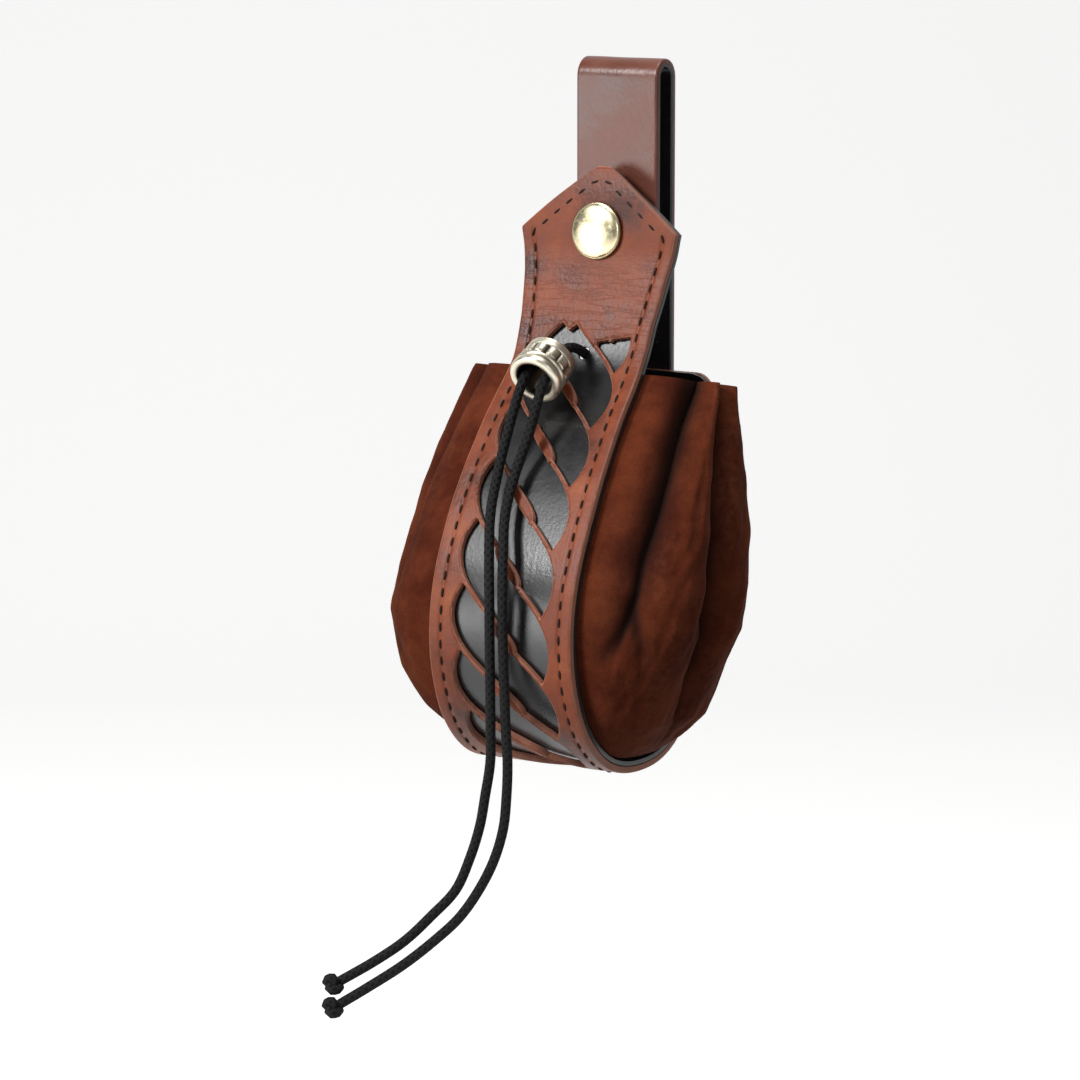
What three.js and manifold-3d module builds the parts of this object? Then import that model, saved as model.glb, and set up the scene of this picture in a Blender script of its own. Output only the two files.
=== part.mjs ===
// Medieval belt pouch: a pierced leather band with a pentagon head, two gathered suede sides,
// a strap that loops over the belt and a drawstring with a metal bead.
// Millimetres, +Z up, +X to the wearer's left, front towards -Y. The origin is the centre of the belt channel.

import * as THREE from 'three';
import { mergeVertices } from 'three/addons/utils/BufferGeometryUtils.js';
import Module from 'manifold-3d';

const wasm = await Module();
wasm.setup();

// Leather and small clearances
const seat = 0.3; // gap between pieces that touch
const bandThickness = 2.0;
const liningThickness = 1.3;
const suedeThickness = 2.0;
const strapThickness = 2.5;
const skin = bandThickness + seat + liningThickness; // brown band and black lining together

// Belt loop
const channelGap = 6.5;
const channelHeight = 39;
const strapWidth = 28;
const strapTip = 10; // length of the rounded end of each leg
const strapRounding = 6; // how far the end draws in on each side
const frontLegBelowStud = 14;
const backLegBelowMouth = 34;

// Press stud
const snapDrop = 28.8; // from the belt's middle down to the stud
const studHeight = 7;
const studRadius = 5.5;
const postRadius = 2.2;
const postClearance = 0.4;
const capRadius = 8.5;
const capHeight = 2.6;

// Band outline
const headHeight = 19; // from the stud up to the head's point
const headLean = 3.7; // the point leans back to the strap
const headWidth = 54;
const pointWidth = 8; // the head's tip is cut off this wide
const waistWidth = 44.5;
const bandWidth = 49.5;
const backWidth = 59;
const backTaper = 10; // the back end keeps its width for this length
const edgeEase = 0.6; // softens the band's outline at the waist and below it
const pointRow = 2.5; // length of the blunt tip that the closest rows follow
const cornerRadius = 6;

// Pouch body
const neckDrop = 38; // from the stud down to the mouth
const bodyHeight = 121;
const bodyDepth = 74.5;
const bodyWidth = 112;
const rimDrop = 8; // the mouth's rim is this much lower at the back
const backRise = 3; // the back stands this much above the rim there
const seamInset = 4; // the suede's edge lies this far inside the band's edge
const seamTuck = 0.6; // and this far behind the lining

// Plait cut through the brown band
const plaitWidth = 33.6;
const strandWidth = 11.6;
const strandLine = 1.1; // leather left between two strands
const plaitRepeat = 60; // one strand's full turn
const plaitStrands = 9; // strands that cross from the left edge to the right one
const plaitRise = 8; // the plait starts this far above the mouth, along the band
const plaitLength = 160;
const firstBend = -28.2; // place of the first strand's left bend, from the plait's start

// Drawstring and bead
const cordDiameter = 3;
const cordHoleRadius = 1.9;
const cordSpread = 7.2; // between the two cords in the bead
const beadShift = -3.2; // the bead hangs left of the middle
const beadLength = 11.5;
const beadTilt = 16; // degrees that its open foot is turned away from the band
const beadRimRadius = 8.3;
const beadWaistRadius = 7.3;
const beadBoreRadius = 5.7;
const beadDrop = 10; // its middle is this much below the mouth, along the band
const cordTail = 0.6; // the free ends start this far inside the lining
const cordHoleRise = 8; // the cords leave the band this far above the bead
const cordBend = 4.4; // and turn down this far in front of it
const cordRoom = 2; // between the drawcord and the suede
const knotRadius = 3.2;

// Planes and heights that follow from them
const headPlane = -(channelGap / 2 + strapThickness + studHeight + skin);
const backPlane = channelGap / 2 - seat;
const snapZ = -snapDrop;
const mouthZ = snapZ - neckDrop;

// Side view of the band's outer face. Each share is of the named size in its table's comment.
// Head: back is a share of headLean, up of headHeight.
const headRows = [
  { back: 1.0, up: 1.0 },
  { back: 0.35, up: 0.55 },
  { back: 0.0, up: 0.0 },
];
// Neck: forward is a share of the way from the head's plane to the mouth's, down of neckDrop.
const neckRows = [
  { forward: 0.03, down: 0.16 },
  { forward: 0.24, down: 0.4 },
  { forward: 0.56, down: 0.68 },
];
// Body: forward is a share of bodyDepth from the back plane, down of bodyHeight.
const bodyRows = [
  { forward: 0.426, down: 0.0 },
  { forward: 0.61, down: 0.128 },
  { forward: 0.814, down: 0.302 },
  { forward: 0.957, down: 0.479 },
  { forward: 1.0, down: 0.6 },
  { forward: 0.985, down: 0.735 },
  { forward: 0.895, down: 0.868 },
  { forward: 0.728, down: 0.963 },
  { forward: 0.513, down: 1.0 },
  { forward: 0.259, down: 0.983 },
  { forward: 0.084, down: 0.9 },
  { forward: 0.009, down: 0.752 },
  { forward: 0.0, down: 0.545 },
  { forward: 0.0, down: 0.3 },
];

// Half-width of the body: left and right are shares of bodyWidth / 2, down of bodyHeight.
const widthRows = [
  { down: 0.0, left: 0.79, right: 0.79 },
  { down: 0.064, left: 0.81, right: 0.83 },
  { down: 0.217, left: 0.86, right: 0.92 },
  { down: 0.354, left: 0.91, right: 0.98 },
  { down: 0.5, left: 0.96, right: 1.0 },
  { down: 0.62, left: 0.99, right: 0.965 },
  { down: 0.76, left: 0.93, right: 0.84 },
  { down: 0.87, left: 0.77, right: 0.74 },
  { down: 0.94, left: 0.6, right: 0.61 },
  { down: 1.0, left: 0.46, right: 0.46 },
];

// Folds of each side. top and foot are places round the side (0 at the front seam, 1 at the back seam),
// depth is a share of bodyWidth at the mouth, width a share of the way round, end a share of bodyHeight,
// and keep how much of the depth is left halfway down.
const rightFolds = [
  { top: 0.2, foot: 0.1, depth: 0.12, width: 0.07, end: 0.72, keep: 0.8 },
  { top: 0.48, foot: 0.45, depth: 0.095, width: 0.055, end: 0.99, keep: 0.75 },
  { top: 0.79, foot: 0.74, depth: 0.075, width: 0.055, end: 0.95, keep: 0.6 },
];
const leftFolds = [
  { top: 0.24, foot: 0.24, depth: 0.09, width: 0.06, end: 0.97, keep: 0.65 },
  { top: 0.5, foot: 0.5, depth: 0.11, width: 0.07, end: 0.9, keep: 0.6 },
  { top: 0.78, foot: 0.74, depth: 0.075, width: 0.055, end: 0.95, keep: 0.5 },
];

// Free ends of the drawstring below the bead, chosen by hand: x, y from the head's plane, z from the mouth.
const leftRoute = [
  [-8.9, -36.4, -19.5], [-9.4, -40.8, -30.5], [-7.7, -47.5, -41.5], [-4.4, -53.5, -52.5],
  [-1.6, -57.8, -66], [-1.2, -58.3, -79], [-1.3, -57.9, -91], [-1.4, -57.6, -103],
  [-1.5, -57.6, -113.6], [-2.9, -58.3, -124], [-4.2, -59.2, -133], [-6.7, -60.7, -142.6],
  [-10.3, -63, -152.3], [-16.3, -66.7, -160], [-23.1, -71, -167.7], [-30.7, -75.7, -173.9],
  [-39.2, -81.1, -179.8],
];
const rightRoute = [
  [-1.6, -36.4, -19.5], [-3.4, -40.8, -30.5], [-2.6, -47.5, -41.5], [0.4, -53.5, -52.5],
  [2.9, -57.8, -66], [3.4, -58.3, -79], [3.6, -57.9, -91], [3.9, -57.6, -103],
  [4.5, -57.6, -113.6], [4.2, -57.8, -124], [3.4, -58.3, -133], [1, -59.8, -142.7],
  [-2.8, -62.2, -151.7], [-7.6, -65.2, -159.8], [-13.5, -68.8, -166.4], [-21.5, -73.9, -174],
  [-30.6, -79.5, -181], [-37.5, -83.9, -186],
];

const colours = {
  brown: { color: 0x7d3b22, roughness: 0.45, metalness: 0 },
  black: { color: 0x15110f, roughness: 0.5, metalness: 0 },
  suede: { color: 0x5a2412, roughness: 0.95, metalness: 0 },
  brass: { color: 0xc9b06a, roughness: 0.25, metalness: 1 },
  pewter: { color: 0xbfb79a, roughness: 0.35, metalness: 1 },
  cord: { color: 0x16161a, roughness: 0.7, metalness: 0 },
};

const pouch = new THREE.Group();

function addMesh(name, geometry, colour) {
  const flat = geometry.index ? geometry.toNonIndexed() : geometry;
  flat.computeVertexNormals();
  const mesh = new THREE.Mesh(flat, new THREE.MeshStandardMaterial(colours[colour]));
  mesh.name = name;
  pouch.add(mesh);
}

// Boolean helpers

function toSolid(geometry) {
  const bare = geometry.clone();
  bare.deleteAttribute('normal');
  bare.deleteAttribute('uv');
  const merged = mergeVertices(bare, 1e-5);
  return new wasm.Manifold(new wasm.Mesh({
    numProp: 3,
    vertProperties: new Float32Array(merged.attributes.position.array),
    triVerts: new Uint32Array(merged.index.array),
  }));
}

function toGeometry(solid) {
  const mesh = solid.getMesh();
  const geometry = new THREE.BufferGeometry();
  geometry.setAttribute('position', new THREE.BufferAttribute(mesh.vertProperties, 3));
  geometry.setIndex(new THREE.BufferAttribute(mesh.triVerts, 1));
  return geometry;
}

// A row of equal rings of points, joined side by side. Both ends are closed by a strip between the
// ring's first half and its second half, which runs back beside it.
function ringsToGeometry(rings) {
  const size = rings[0].length;
  const positions = rings.flat().flatMap((p) => [p.x, p.y, p.z]);
  const index = [];
  for (let i = 0; i + 1 < rings.length; i += 1) {
    for (let j = 0; j < size; j += 1) {
      const a = i * size + j;
      const b = i * size + ((j + 1) % size);
      index.push(a, a + size, b, b, a + size, b + size);
    }
  }
  const last = (rings.length - 1) * size;
  for (let j = 0; j + 1 < size / 2; j += 1) {
    const k = size - 1 - j;
    index.push(j, j + 1, k, j + 1, k - 1, k);
    index.push(last + j, last + k, last + j + 1, last + j + 1, last + k, last + k - 1);
  }
  const geometry = new THREE.BufferGeometry();
  geometry.setAttribute('position', new THREE.Float32BufferAttribute(positions, 3));
  geometry.setIndex(index);
  return geometry;
}

// Straight-line reading of a table: the value of `out` where `key` is at.
function lookUp(rows, key, out, at) {
  const next = rows.findIndex((row) => row[key] >= at);
  if (next === 0) return rows[0][out];
  if (next < 0) return rows[rows.length - 1][out];
  const a = rows[next - 1];
  const b = rows[next];
  return THREE.MathUtils.mapLinear(at, a[key], b[key], a[out], b[out]);
}

// The band's side view as one smooth curve, from the head's point down the front and up the back

const mouthPlane = backPlane - bodyRows[0].forward * bodyDepth;
const backTopZ = mouthZ - rimDrop + backRise;
const profile = new THREE.CatmullRomCurve3([
  ...headRows.map((r) => new THREE.Vector3(0, headPlane + r.back * headLean, snapZ + r.up * headHeight)),
  ...neckRows.map((r) => new THREE.Vector3(
    0,
    THREE.MathUtils.lerp(headPlane, mouthPlane, r.forward),
    snapZ - r.down * neckDrop,
  )),
  ...bodyRows.map((r) => new THREE.Vector3(0, backPlane - r.forward * bodyDepth, mouthZ - r.down * bodyHeight)),
  new THREE.Vector3(0, backPlane, backTopZ),
], false, 'centripetal');
profile.arcLengthDivisions = 800;
const bandLength = profile.getLength();

// A frame of the band at a distance from its point: the outer face and the way inwards.
function frameAt(distance) {
  const share = THREE.MathUtils.clamp(distance / bandLength, 0, 1);
  const point = profile.getPointAt(share);
  const along = profile.getTangentAt(share);
  return { point, along, inward: new THREE.Vector3(0, -along.z, along.y) };
}

// A point given by x, distance along the band and depth below its outer face.
function onBand(x, distance, depth) {
  const { point, inward } = frameAt(distance);
  return point.clone().addScaledVector(inward, depth).setX(x);
}

const profileSteps = 1200;
const samples = Array.from({ length: profileSteps + 1 }, (_, i) => {
  const distance = (i / profileSteps) * bandLength;
  return { distance, z: frameAt(distance).point.z };
});
const bottom = samples.reduce((low, s) => (s.z < low.z ? s : low));

// The distance along the band at which its front, or its back, is at a height.
function frontDistance(z) {
  return samples.find((s) => s.z <= z || s === bottom).distance;
}

function backDistance(z) {
  const found = samples.find((s) => s.distance >= bottom.distance && s.z >= z);
  return (found ?? samples[samples.length - 1]).distance;
}

const snapDistance = frontDistance(snapZ);
const mouthDistance = frontDistance(mouthZ);

// Half-width of the band: the pointed head, the waist, the front and the back with round corners.
function bandHalfWidth(distance) {
  const pointHalf = pointWidth / 2;
  if (distance < snapDistance) {
    const share = Math.sin(Math.min(1, (distance + 0.8) / snapDistance) * Math.PI / 2) ** 0.25;
    return pointHalf * share + (headWidth / 2 - pointHalf) * (distance / snapDistance);
  }
  const rows = [
    { at: snapDistance, half: headWidth / 2 },
    { at: snapDistance + 0.33 * neckDrop, half: (headWidth + waistWidth) / 4 },
    { at: snapDistance + 0.7 * neckDrop, half: waistWidth / 2 + edgeEase },
    { at: mouthDistance, half: waistWidth / 2 },
    { at: mouthDistance + 0.4 * bodyHeight, half: bandWidth / 2 - edgeEase },
    { at: mouthDistance + bodyHeight, half: bandWidth / 2 },
    { at: bottom.distance + 0.4 * bodyHeight, half: bandWidth / 2 },
    { at: bandLength - backTaper, half: backWidth / 2 },
    { at: bandLength, half: backWidth / 2 },
  ];
  const fromEnd = bandLength - distance;
  const corner = fromEnd < cornerRadius
    ? cornerRadius - Math.sqrt(cornerRadius ** 2 - (cornerRadius - fromEnd) ** 2)
    : 0;
  return lookUp(rows, 'at', 'half', distance) - corner;
}

// Row places along the band, closer at its ends.
const mainRows = 54;
const bandPlaces = [
  0, pointRow / 3, pointRow,
  ...Array.from({ length: 4 }, (_, i) => THREE.MathUtils.lerp(pointRow, snapDistance, (i + 1) / 4)),
  ...Array.from({ length: mainRows }, (_, i) => (
    THREE.MathUtils.lerp(snapDistance, bandLength - cornerRadius, (i + 1) / mainRows))),
  bandLength - cornerRadius * 0.6, bandLength - cornerRadius * 0.25, bandLength - cornerRadius * 0.06, bandLength,
];

// A bent sheet that follows the band between two depths.
function bandSheet(outer, inner) {
  return ringsToGeometry(bandPlaces.map((distance) => {
    const half = bandHalfWidth(distance);
    return [
      onBand(-half, distance, outer), onBand(half, distance, outer),
      onBand(half, distance, inner), onBand(-half, distance, inner),
    ];
  }));
}

// A cutter that follows a list of {x, distance} places on the band, halfWide to each side.
function bandCutter(places, halfWide, deep) {
  const above = 1;
  return toSolid(ringsToGeometry(places.map((place, i) => {
    const before = places[Math.max(0, i - 1)];
    const after = places[Math.min(places.length - 1, i + 1)];
    const dx = after.x - before.x;
    const ds = after.distance - before.distance;
    const size = Math.hypot(dx, ds);
    const side = [(halfWide * ds) / size, (-halfWide * dx) / size];
    return [
      onBand(place.x - side[0], place.distance - side[1], -above),
      onBand(place.x + side[0], place.distance + side[1], -above),
      onBand(place.x + side[0], place.distance + side[1], deep),
      onBand(place.x - side[0], place.distance - side[1], deep),
    ];
  })));
}

// A round cutter through the band and its lining.
function roundCutter(x, distance, radius) {
  const { point, inward } = frameAt(distance);
  const long = 4 * skin;
  const cylinder = new THREE.CylinderGeometry(radius, radius, long, 12);
  const turn = new THREE.Quaternion().setFromUnitVectors(new THREE.Vector3(0, 1, 0), inward);
  cylinder.applyQuaternion(turn);
  const middle = point.clone().addScaledVector(inward, skin / 2).setX(x);
  cylinder.translate(middle.x, middle.y, middle.z);
  return toSolid(cylinder);
}

// The plait of three strands. Each strand swings from edge to edge. Its run from the left edge to the
// right one lies on top, and its run back is hidden. Brown leather is left between two runs, wider in the middle.

const strandStep = plaitRepeat / 3;
const plaitTop = mouthDistance - plaitRise;
const strandReach = (plaitWidth - strandWidth) / 2;

// Places down the middle of a strand, with its left bend at 0 degrees, kept inside the plait's length.
function strandPlaces(strand, fromDegrees, toDegrees, steps) {
  const bend = firstBend + strand * strandStep;
  const toAngle = (distance) => ((distance - bend) / plaitRepeat) * 360;
  const from = Math.max(fromDegrees, toAngle(0));
  const to = Math.min(toDegrees, toAngle(plaitLength));
  return Array.from({ length: steps + 1 }, (_, i) => {
    const angle = THREE.MathUtils.lerp(from, to, i / steps);
    return {
      x: -strandReach * Math.cos(THREE.MathUtils.degToRad(angle)),
      distance: plaitTop + bend + (angle / 360) * plaitRepeat,
    };
  });
}

function plaitCutters() {
  const deep = bandThickness + seat;
  const top = (strand) => bandCutter(strandPlaces(strand, -75, 255, 10), strandWidth / 2, deep);
  const over = (strand) => bandCutter(strandPlaces(strand, -20, 200, 10), strandWidth / 2 + strandLine, deep + 1);
  const strands = Array.from({ length: plaitStrands }, (_, i) => i);
  return strands.map((strand) => (
    strands.filter((other) => Math.abs(other - strand) === 1)
      .reduce((piece, other) => piece.subtract(over(other)), top(strand))));
}

const beadDistance = mouthDistance + beadDrop;
const cordHoleDistance = beadDistance - beadLength / 2 - cordHoleRise;
const cordPlaces = [beadShift - cordSpread / 2, beadShift + cordSpread / 2];

function makeBand() {
  const holes = cordPlaces.map((x) => roundCutter(x, cordHoleDistance, cordHoleRadius));
  const post = roundCutter(0, snapDistance, postRadius + postClearance);
  let band = toSolid(bandSheet(0, bandThickness));
  let lining = toSolid(bandSheet(bandThickness + seat, skin));
  [post, ...holes].forEach((cutter) => {
    band = band.subtract(cutter);
    lining = lining.subtract(cutter);
  });
  plaitCutters().forEach((cutter) => {
    band = band.subtract(cutter);
  });
  addMesh('band', toGeometry(band), 'brown');
  addMesh('band_lining', toGeometry(lining), 'black');
}

// A gathered side. `along` runs round it from the front seam (0) to the back seam (1), `down` from the
// mouth (0) to the bottom (1). Each section is an arch between the two edges of the band, pushed in
// along its own normal where a fold runs.

const archPower = 0.62;
const lowest = 0.985;

function foldDepth(folds, along, down) {
  const deepest = folds.map((fold) => {
    const share = Math.min(1, down / fold.end);
    const centre = THREE.MathUtils.lerp(fold.top, fold.foot, share);
    const fade = (1 - share ** (1 / (1.2 - fold.keep))) * (1 - share * 0.25);
    const off = Math.abs(along - centre) / fold.width;
    return fold.depth * bodyWidth * Math.max(0, fade) * Math.exp(-(off ** 1.7));
  });
  return Math.max(...deepest);
}

function sidePoint(side, folds, along, down, inset) {
  const spread = down * lowest;
  const frontSeam = frontDistance(mouthZ - spread * bodyHeight);
  const backSeam = backDistance(mouthZ - rimDrop - spread * (bodyHeight - rimDrop));
  const depth = skin + seamTuck;
  const front = onBand(0, frontSeam, depth + inset);
  const back = onBand(0, backSeam, depth + inset);
  const frontX = bandHalfWidth(frontSeam) - seamInset;
  const backX = bandHalfWidth(backSeam) - seamInset;
  const out = Math.max(lookUp(widthRows, 'down', side < 0 ? 'left' : 'right', spread) * (bodyWidth / 2), backX + 1);
  const arch = (share) => {
    const level = (1 - Math.cos(Math.PI * share)) / 2;
    const base = THREE.MathUtils.lerp(frontX, backX, level);
    const point = front.clone().lerp(back, level);
    return point.setX(base + (out - inset - base) * Math.sin(Math.PI * share) ** archPower);
  };
  const point = arch(along);
  const step = 0.02;
  const run = arch(Math.min(1, along + step)).sub(arch(Math.max(0, along - step)));
  const chord = back.clone().sub(front).normalize();
  const inward = new THREE.Vector3(-run.dot(chord), 0, 0).addScaledVector(chord, run.x).normalize();
  const hold = Math.sin(Math.PI * along) ** 0.5;
  point.addScaledVector(inward, foldDepth(folds, along, down) * hold);
  point.x *= side;
  return point;
}

function makeSide(name, side, folds) {
  const around = 34;
  const rows = 15;
  const rings = Array.from({ length: rows + 1 }, (_, j) => {
    const down = Math.sin((j / rows) * Math.PI / 2) ** 0.95;
    const place = (i) => 0.5 - Math.cos(Math.PI * (0.12 + 0.76 * (i / around))) / (2 * Math.cos(Math.PI * 0.12));
    const outer = Array.from({ length: around + 1 }, (_, i) => sidePoint(side, folds, place(i), down, 0));
    const inner = Array.from({ length: around + 1 }, (_, i) => (
      sidePoint(side, folds, place(around - i), down, suedeThickness)));
    const ring = [...outer, ...inner];
    return side > 0 ? ring : ring.reverse();
  });
  addMesh(name, ringsToGeometry(rings), 'suede');
}

// The strap over the belt, as rings from the front leg's end, over the top and down the back leg.

function makeStrap() {
  const outer = channelGap / 2 + strapThickness;
  const topCentreZ = channelHeight / 2 - channelGap / 2;
  const frontEndZ = snapZ - frontLegBelowStud;
  const backEndZ = mouthZ - backLegBelowMouth;
  const roundEnd = strapWidth / 2;
  const ends = [0, 0.04, 0.15, 0.4, 1];
  const frames = [
    ...ends.map((share) => ({ y: -outer, z: frontEndZ + share * strapTip, turn: 0, end: share * strapTip })),
    ...Array.from({ length: 11 }, (_, i) => {
      const turn = (i / 10) * Math.PI;
      return { y: -outer * Math.cos(turn), z: topCentreZ + outer * Math.sin(turn), turn, end: strapTip };
    }),
    ...ends.slice().reverse().map((share) => ({ y: outer, z: backEndZ + share * strapTip, turn: Math.PI, end: share * strapTip })),
  ];
  const rings = frames.map(({ y, z, turn, end }) => {
    const reach = end / strapTip;
    const half = roundEnd - strapRounding * (1 - Math.sqrt(1 - (1 - reach) ** 2));
    const inner = [y + strapThickness * Math.cos(turn), z - strapThickness * Math.sin(turn)];
    return [
      new THREE.Vector3(-half, y, z), new THREE.Vector3(-half, inner[0], inner[1]),
      new THREE.Vector3(half, inner[0], inner[1]), new THREE.Vector3(half, y, z),
    ];
  });
  const strap = toSolid(ringsToGeometry(rings));
  const hole = new THREE.CylinderGeometry(postRadius + postClearance, postRadius + postClearance, 6, 12);
  hole.translate(0, -(channelGap + strapThickness) / 2, snapZ);
  addMesh('loop_strap', toGeometry(strap.subtract(toSolid(hole))), 'brown');
}

// Press stud: the cap with its post through the head, and the stud from there to the strap.
// Both are turned about an axis along Y. Profile rows are {r, y} with y from the head's outer face.

function turned(rows, sides) {
  const lathe = new THREE.LatheGeometry(rows.map((p) => new THREE.Vector2(p.r, p.y)), sides);
  return toGeometry(toSolid(lathe));
}

function makeSnap() {
  const rim = capHeight * 0.35;
  const cap = turned([
    { r: 0, y: -skin - 0.5 },
    { r: postRadius, y: -skin - 0.5 },
    { r: postRadius, y: seat },
    { r: capRadius - 0.8, y: seat },
    { r: capRadius, y: seat + rim * 0.5 },
    { r: capRadius * 0.97, y: rim + seat },
    { r: capRadius * 0.8, y: rim + (capHeight - rim) * 0.52 },
    { r: capRadius * 0.5, y: rim + (capHeight - rim) * 0.85 },
    { r: 0, y: capHeight },
  ], 20);
  const { point, inward } = frameAt(snapDistance);
  cap.applyQuaternion(new THREE.Quaternion().setFromUnitVectors(new THREE.Vector3(0, -1, 0), inward));
  cap.translate(0, point.y, point.z);
  addMesh('snap_cap', cap, 'brass');

  const front = -skin - 3 * seat;
  const strapFace = -skin - studHeight;
  const back = strapFace - strapThickness;
  const stud = turned([
    { r: 0, y: front - 0.9 },
    { r: postRadius + 0.4, y: front - 0.9 },
    { r: postRadius + 0.8, y: front },
    { r: studRadius, y: front },
    { r: studRadius, y: front - 1.6 },
    { r: studRadius * 0.6, y: front - 2 },
    { r: studRadius * 0.6, y: strapFace + seat + 1.1 },
    { r: studRadius, y: strapFace + seat + 0.7 },
    { r: studRadius, y: strapFace + seat },
    { r: postRadius, y: strapFace + seat },
    { r: postRadius, y: back - seat },
    { r: studRadius * 0.8, y: back - seat },
    { r: studRadius * 0.8, y: back - seat - 0.8 },
    { r: 0, y: back - seat - 0.8 },
  ].reverse(), 16);
  stud.rotateX(Math.PI);
  stud.translate(0, headPlane, snapZ);
  addMesh('snap_stud', stud, 'brass');
}

// Bead: a collar, a waist and a double rim round a wide bore, lying on the band along its slope.

const beadLift = beadRimRadius + seat + 0.9;
const beadTurn = THREE.MathUtils.degToRad(beadTilt);
const beadFrame = frameAt(beadDistance);
const beadAxis = beadFrame.along.clone().multiplyScalar(Math.cos(beadTurn))
  .addScaledVector(beadFrame.inward, -Math.sin(beadTurn));

function makeBead() {
  const half = beadLength / 2;
  const lathe = new THREE.LatheGeometry([
    { r: beadBoreRadius, y: -half },
    { r: beadRimRadius - 0.6, y: -half },
    { r: beadRimRadius, y: -half + 0.8 },
    { r: beadRimRadius, y: -half + 2.2 },
    { r: beadRimRadius - 0.9, y: -half + 2.7 },
    { r: beadRimRadius - 0.1, y: -half + 3.3 },
    { r: beadRimRadius - 0.4, y: -half + 4.6 },
    { r: beadWaistRadius, y: -half + 5.2 },
    { r: beadWaistRadius, y: half - 4.6 },
    { r: beadRimRadius - 0.5, y: half - 4 },
    { r: beadRimRadius - 0.5, y: half - 0.8 },
    { r: beadRimRadius - 1.2, y: half },
    { r: beadBoreRadius, y: half },
    { r: beadBoreRadius, y: -half },
  ].map((p) => new THREE.Vector2(p.r, p.y)), 16);
  const bead = toGeometry(toSolid(lathe));
  bead.applyQuaternion(new THREE.Quaternion().setFromUnitVectors(new THREE.Vector3(0, -1, 0), beadAxis));
  const centre = onBand(beadShift, beadDistance, -beadLift);
  bead.translate(centre.x, centre.y, centre.z);
  addMesh('cord_bead', bead, 'pewter');
}

// Drawstring

function tube(points, sides, step) {
  const curve = new THREE.CatmullRomCurve3(points, false, 'centripetal');
  const section = new THREE.Shape();
  for (let i = 0; i < sides; i += 1) {
    const angle = (i / sides) * 2 * Math.PI;
    const x = (cordDiameter / 2) * Math.cos(angle);
    const y = (cordDiameter / 2) * Math.sin(angle);
    if (i === 0) section.moveTo(x, y);
    else section.lineTo(x, y);
  }
  section.closePath();
  const steps = Math.round(curve.getLength() / step);
  return new THREE.ExtrudeGeometry(section, { steps, extrudePath: curve, bevelEnabled: false });
}

// A free end: out of the band, over into the bead and down its chosen route.
function freeEnd(x, route) {
  const start = onBand(x, cordHoleDistance, skin + cordTail);
  const face = onBand(x, cordHoleDistance, 0);
  const turnOne = onBand(x, cordHoleDistance + cordBend / 5, -cordBend);
  const turnTwo = onBand(x, cordHoleDistance + cordHoleRise / 2, cordDiameter / 2 - beadLift);
  const beadMiddle = onBand(x, beadDistance, -beadLift);
  const beadFoot = beadMiddle.clone().addScaledVector(beadAxis, beadLength / 2);
  const beadTop = beadMiddle.clone().addScaledVector(beadAxis, -beadLength / 2);
  const below = route.map(([px, py, pz]) => new THREE.Vector3(px, headPlane + py, mouthZ + pz));
  return [start, face, turnOne, turnTwo, beadTop, beadMiddle, beadFoot, ...below];
}

function makeFreeCords() {
  const ends = [
    { name: 'left', x: cordPlaces[0], route: leftRoute },
    { name: 'right', x: cordPlaces[1], route: rightRoute },
  ];
  ends.forEach(({ name, x, route }) => {
    const points = freeEnd(x, route);
    addMesh(`cord_${name}`, toGeometry(toSolid(tube(points, 8, 2.8 * cordDiameter))), 'cord');
    const last = points[points.length - 1];
    const way = last.clone().sub(points[points.length - 2]).normalize();
    const knot = new THREE.SphereGeometry(knotRadius, 10, 8);
    const centre = last.clone().addScaledVector(way, knotRadius + seat);
    knot.translate(centre.x, centre.y, centre.z);
    addMesh(`knot_${name}`, toGeometry(toSolid(knot)), 'cord');
  });
}

// The run inside the mouth: past the bottoms of the folds, a cord's width inside the suede.
function makeDrawcord() {
  const level = 0.07; // this share of the body's height below the mouth
  const inset = suedeThickness + cordRoom + cordDiameter / 2;
  const pass = (side, folds) => folds.map((fold) => sidePoint(side, folds, fold.top, level, inset));
  const startOf = (x) => [
    onBand(x, cordHoleDistance, skin + cordTail + seat),
    onBand(x, cordHoleDistance + 0.2, skin + cordTail + 2),
    onBand(x + Math.sign(x - beadShift), cordHoleDistance + 3.5, skin + 6.5),
    onBand(x + Math.sign(x - beadShift) * 3.5, cordHoleDistance + 13, skin + 8),
  ];
  const backZ = mouthZ - rimDrop - level * bodyHeight;
  const behind = onBand(0, backDistance(backZ), skin + inset);
  const points = [
    ...startOf(cordPlaces[0]),
    ...pass(-1, leftFolds),
    behind,
    ...pass(1, rightFolds).reverse(),
    ...startOf(cordPlaces[1]).reverse(),
  ];
  addMesh('drawcord', toGeometry(toSolid(tube(points, 8, 2.5 * cordDiameter))), 'cord');
}

makeBand();
makeSide('side_left', -1, leftFolds);
makeSide('side_right', 1, rightFolds);
makeStrap();
makeSnap();
makeBead();
makeDrawcord();
makeFreeCords();

export default pouch;
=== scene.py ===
import logging
import math
from dataclasses import dataclass, field
from enum import Enum

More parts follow.
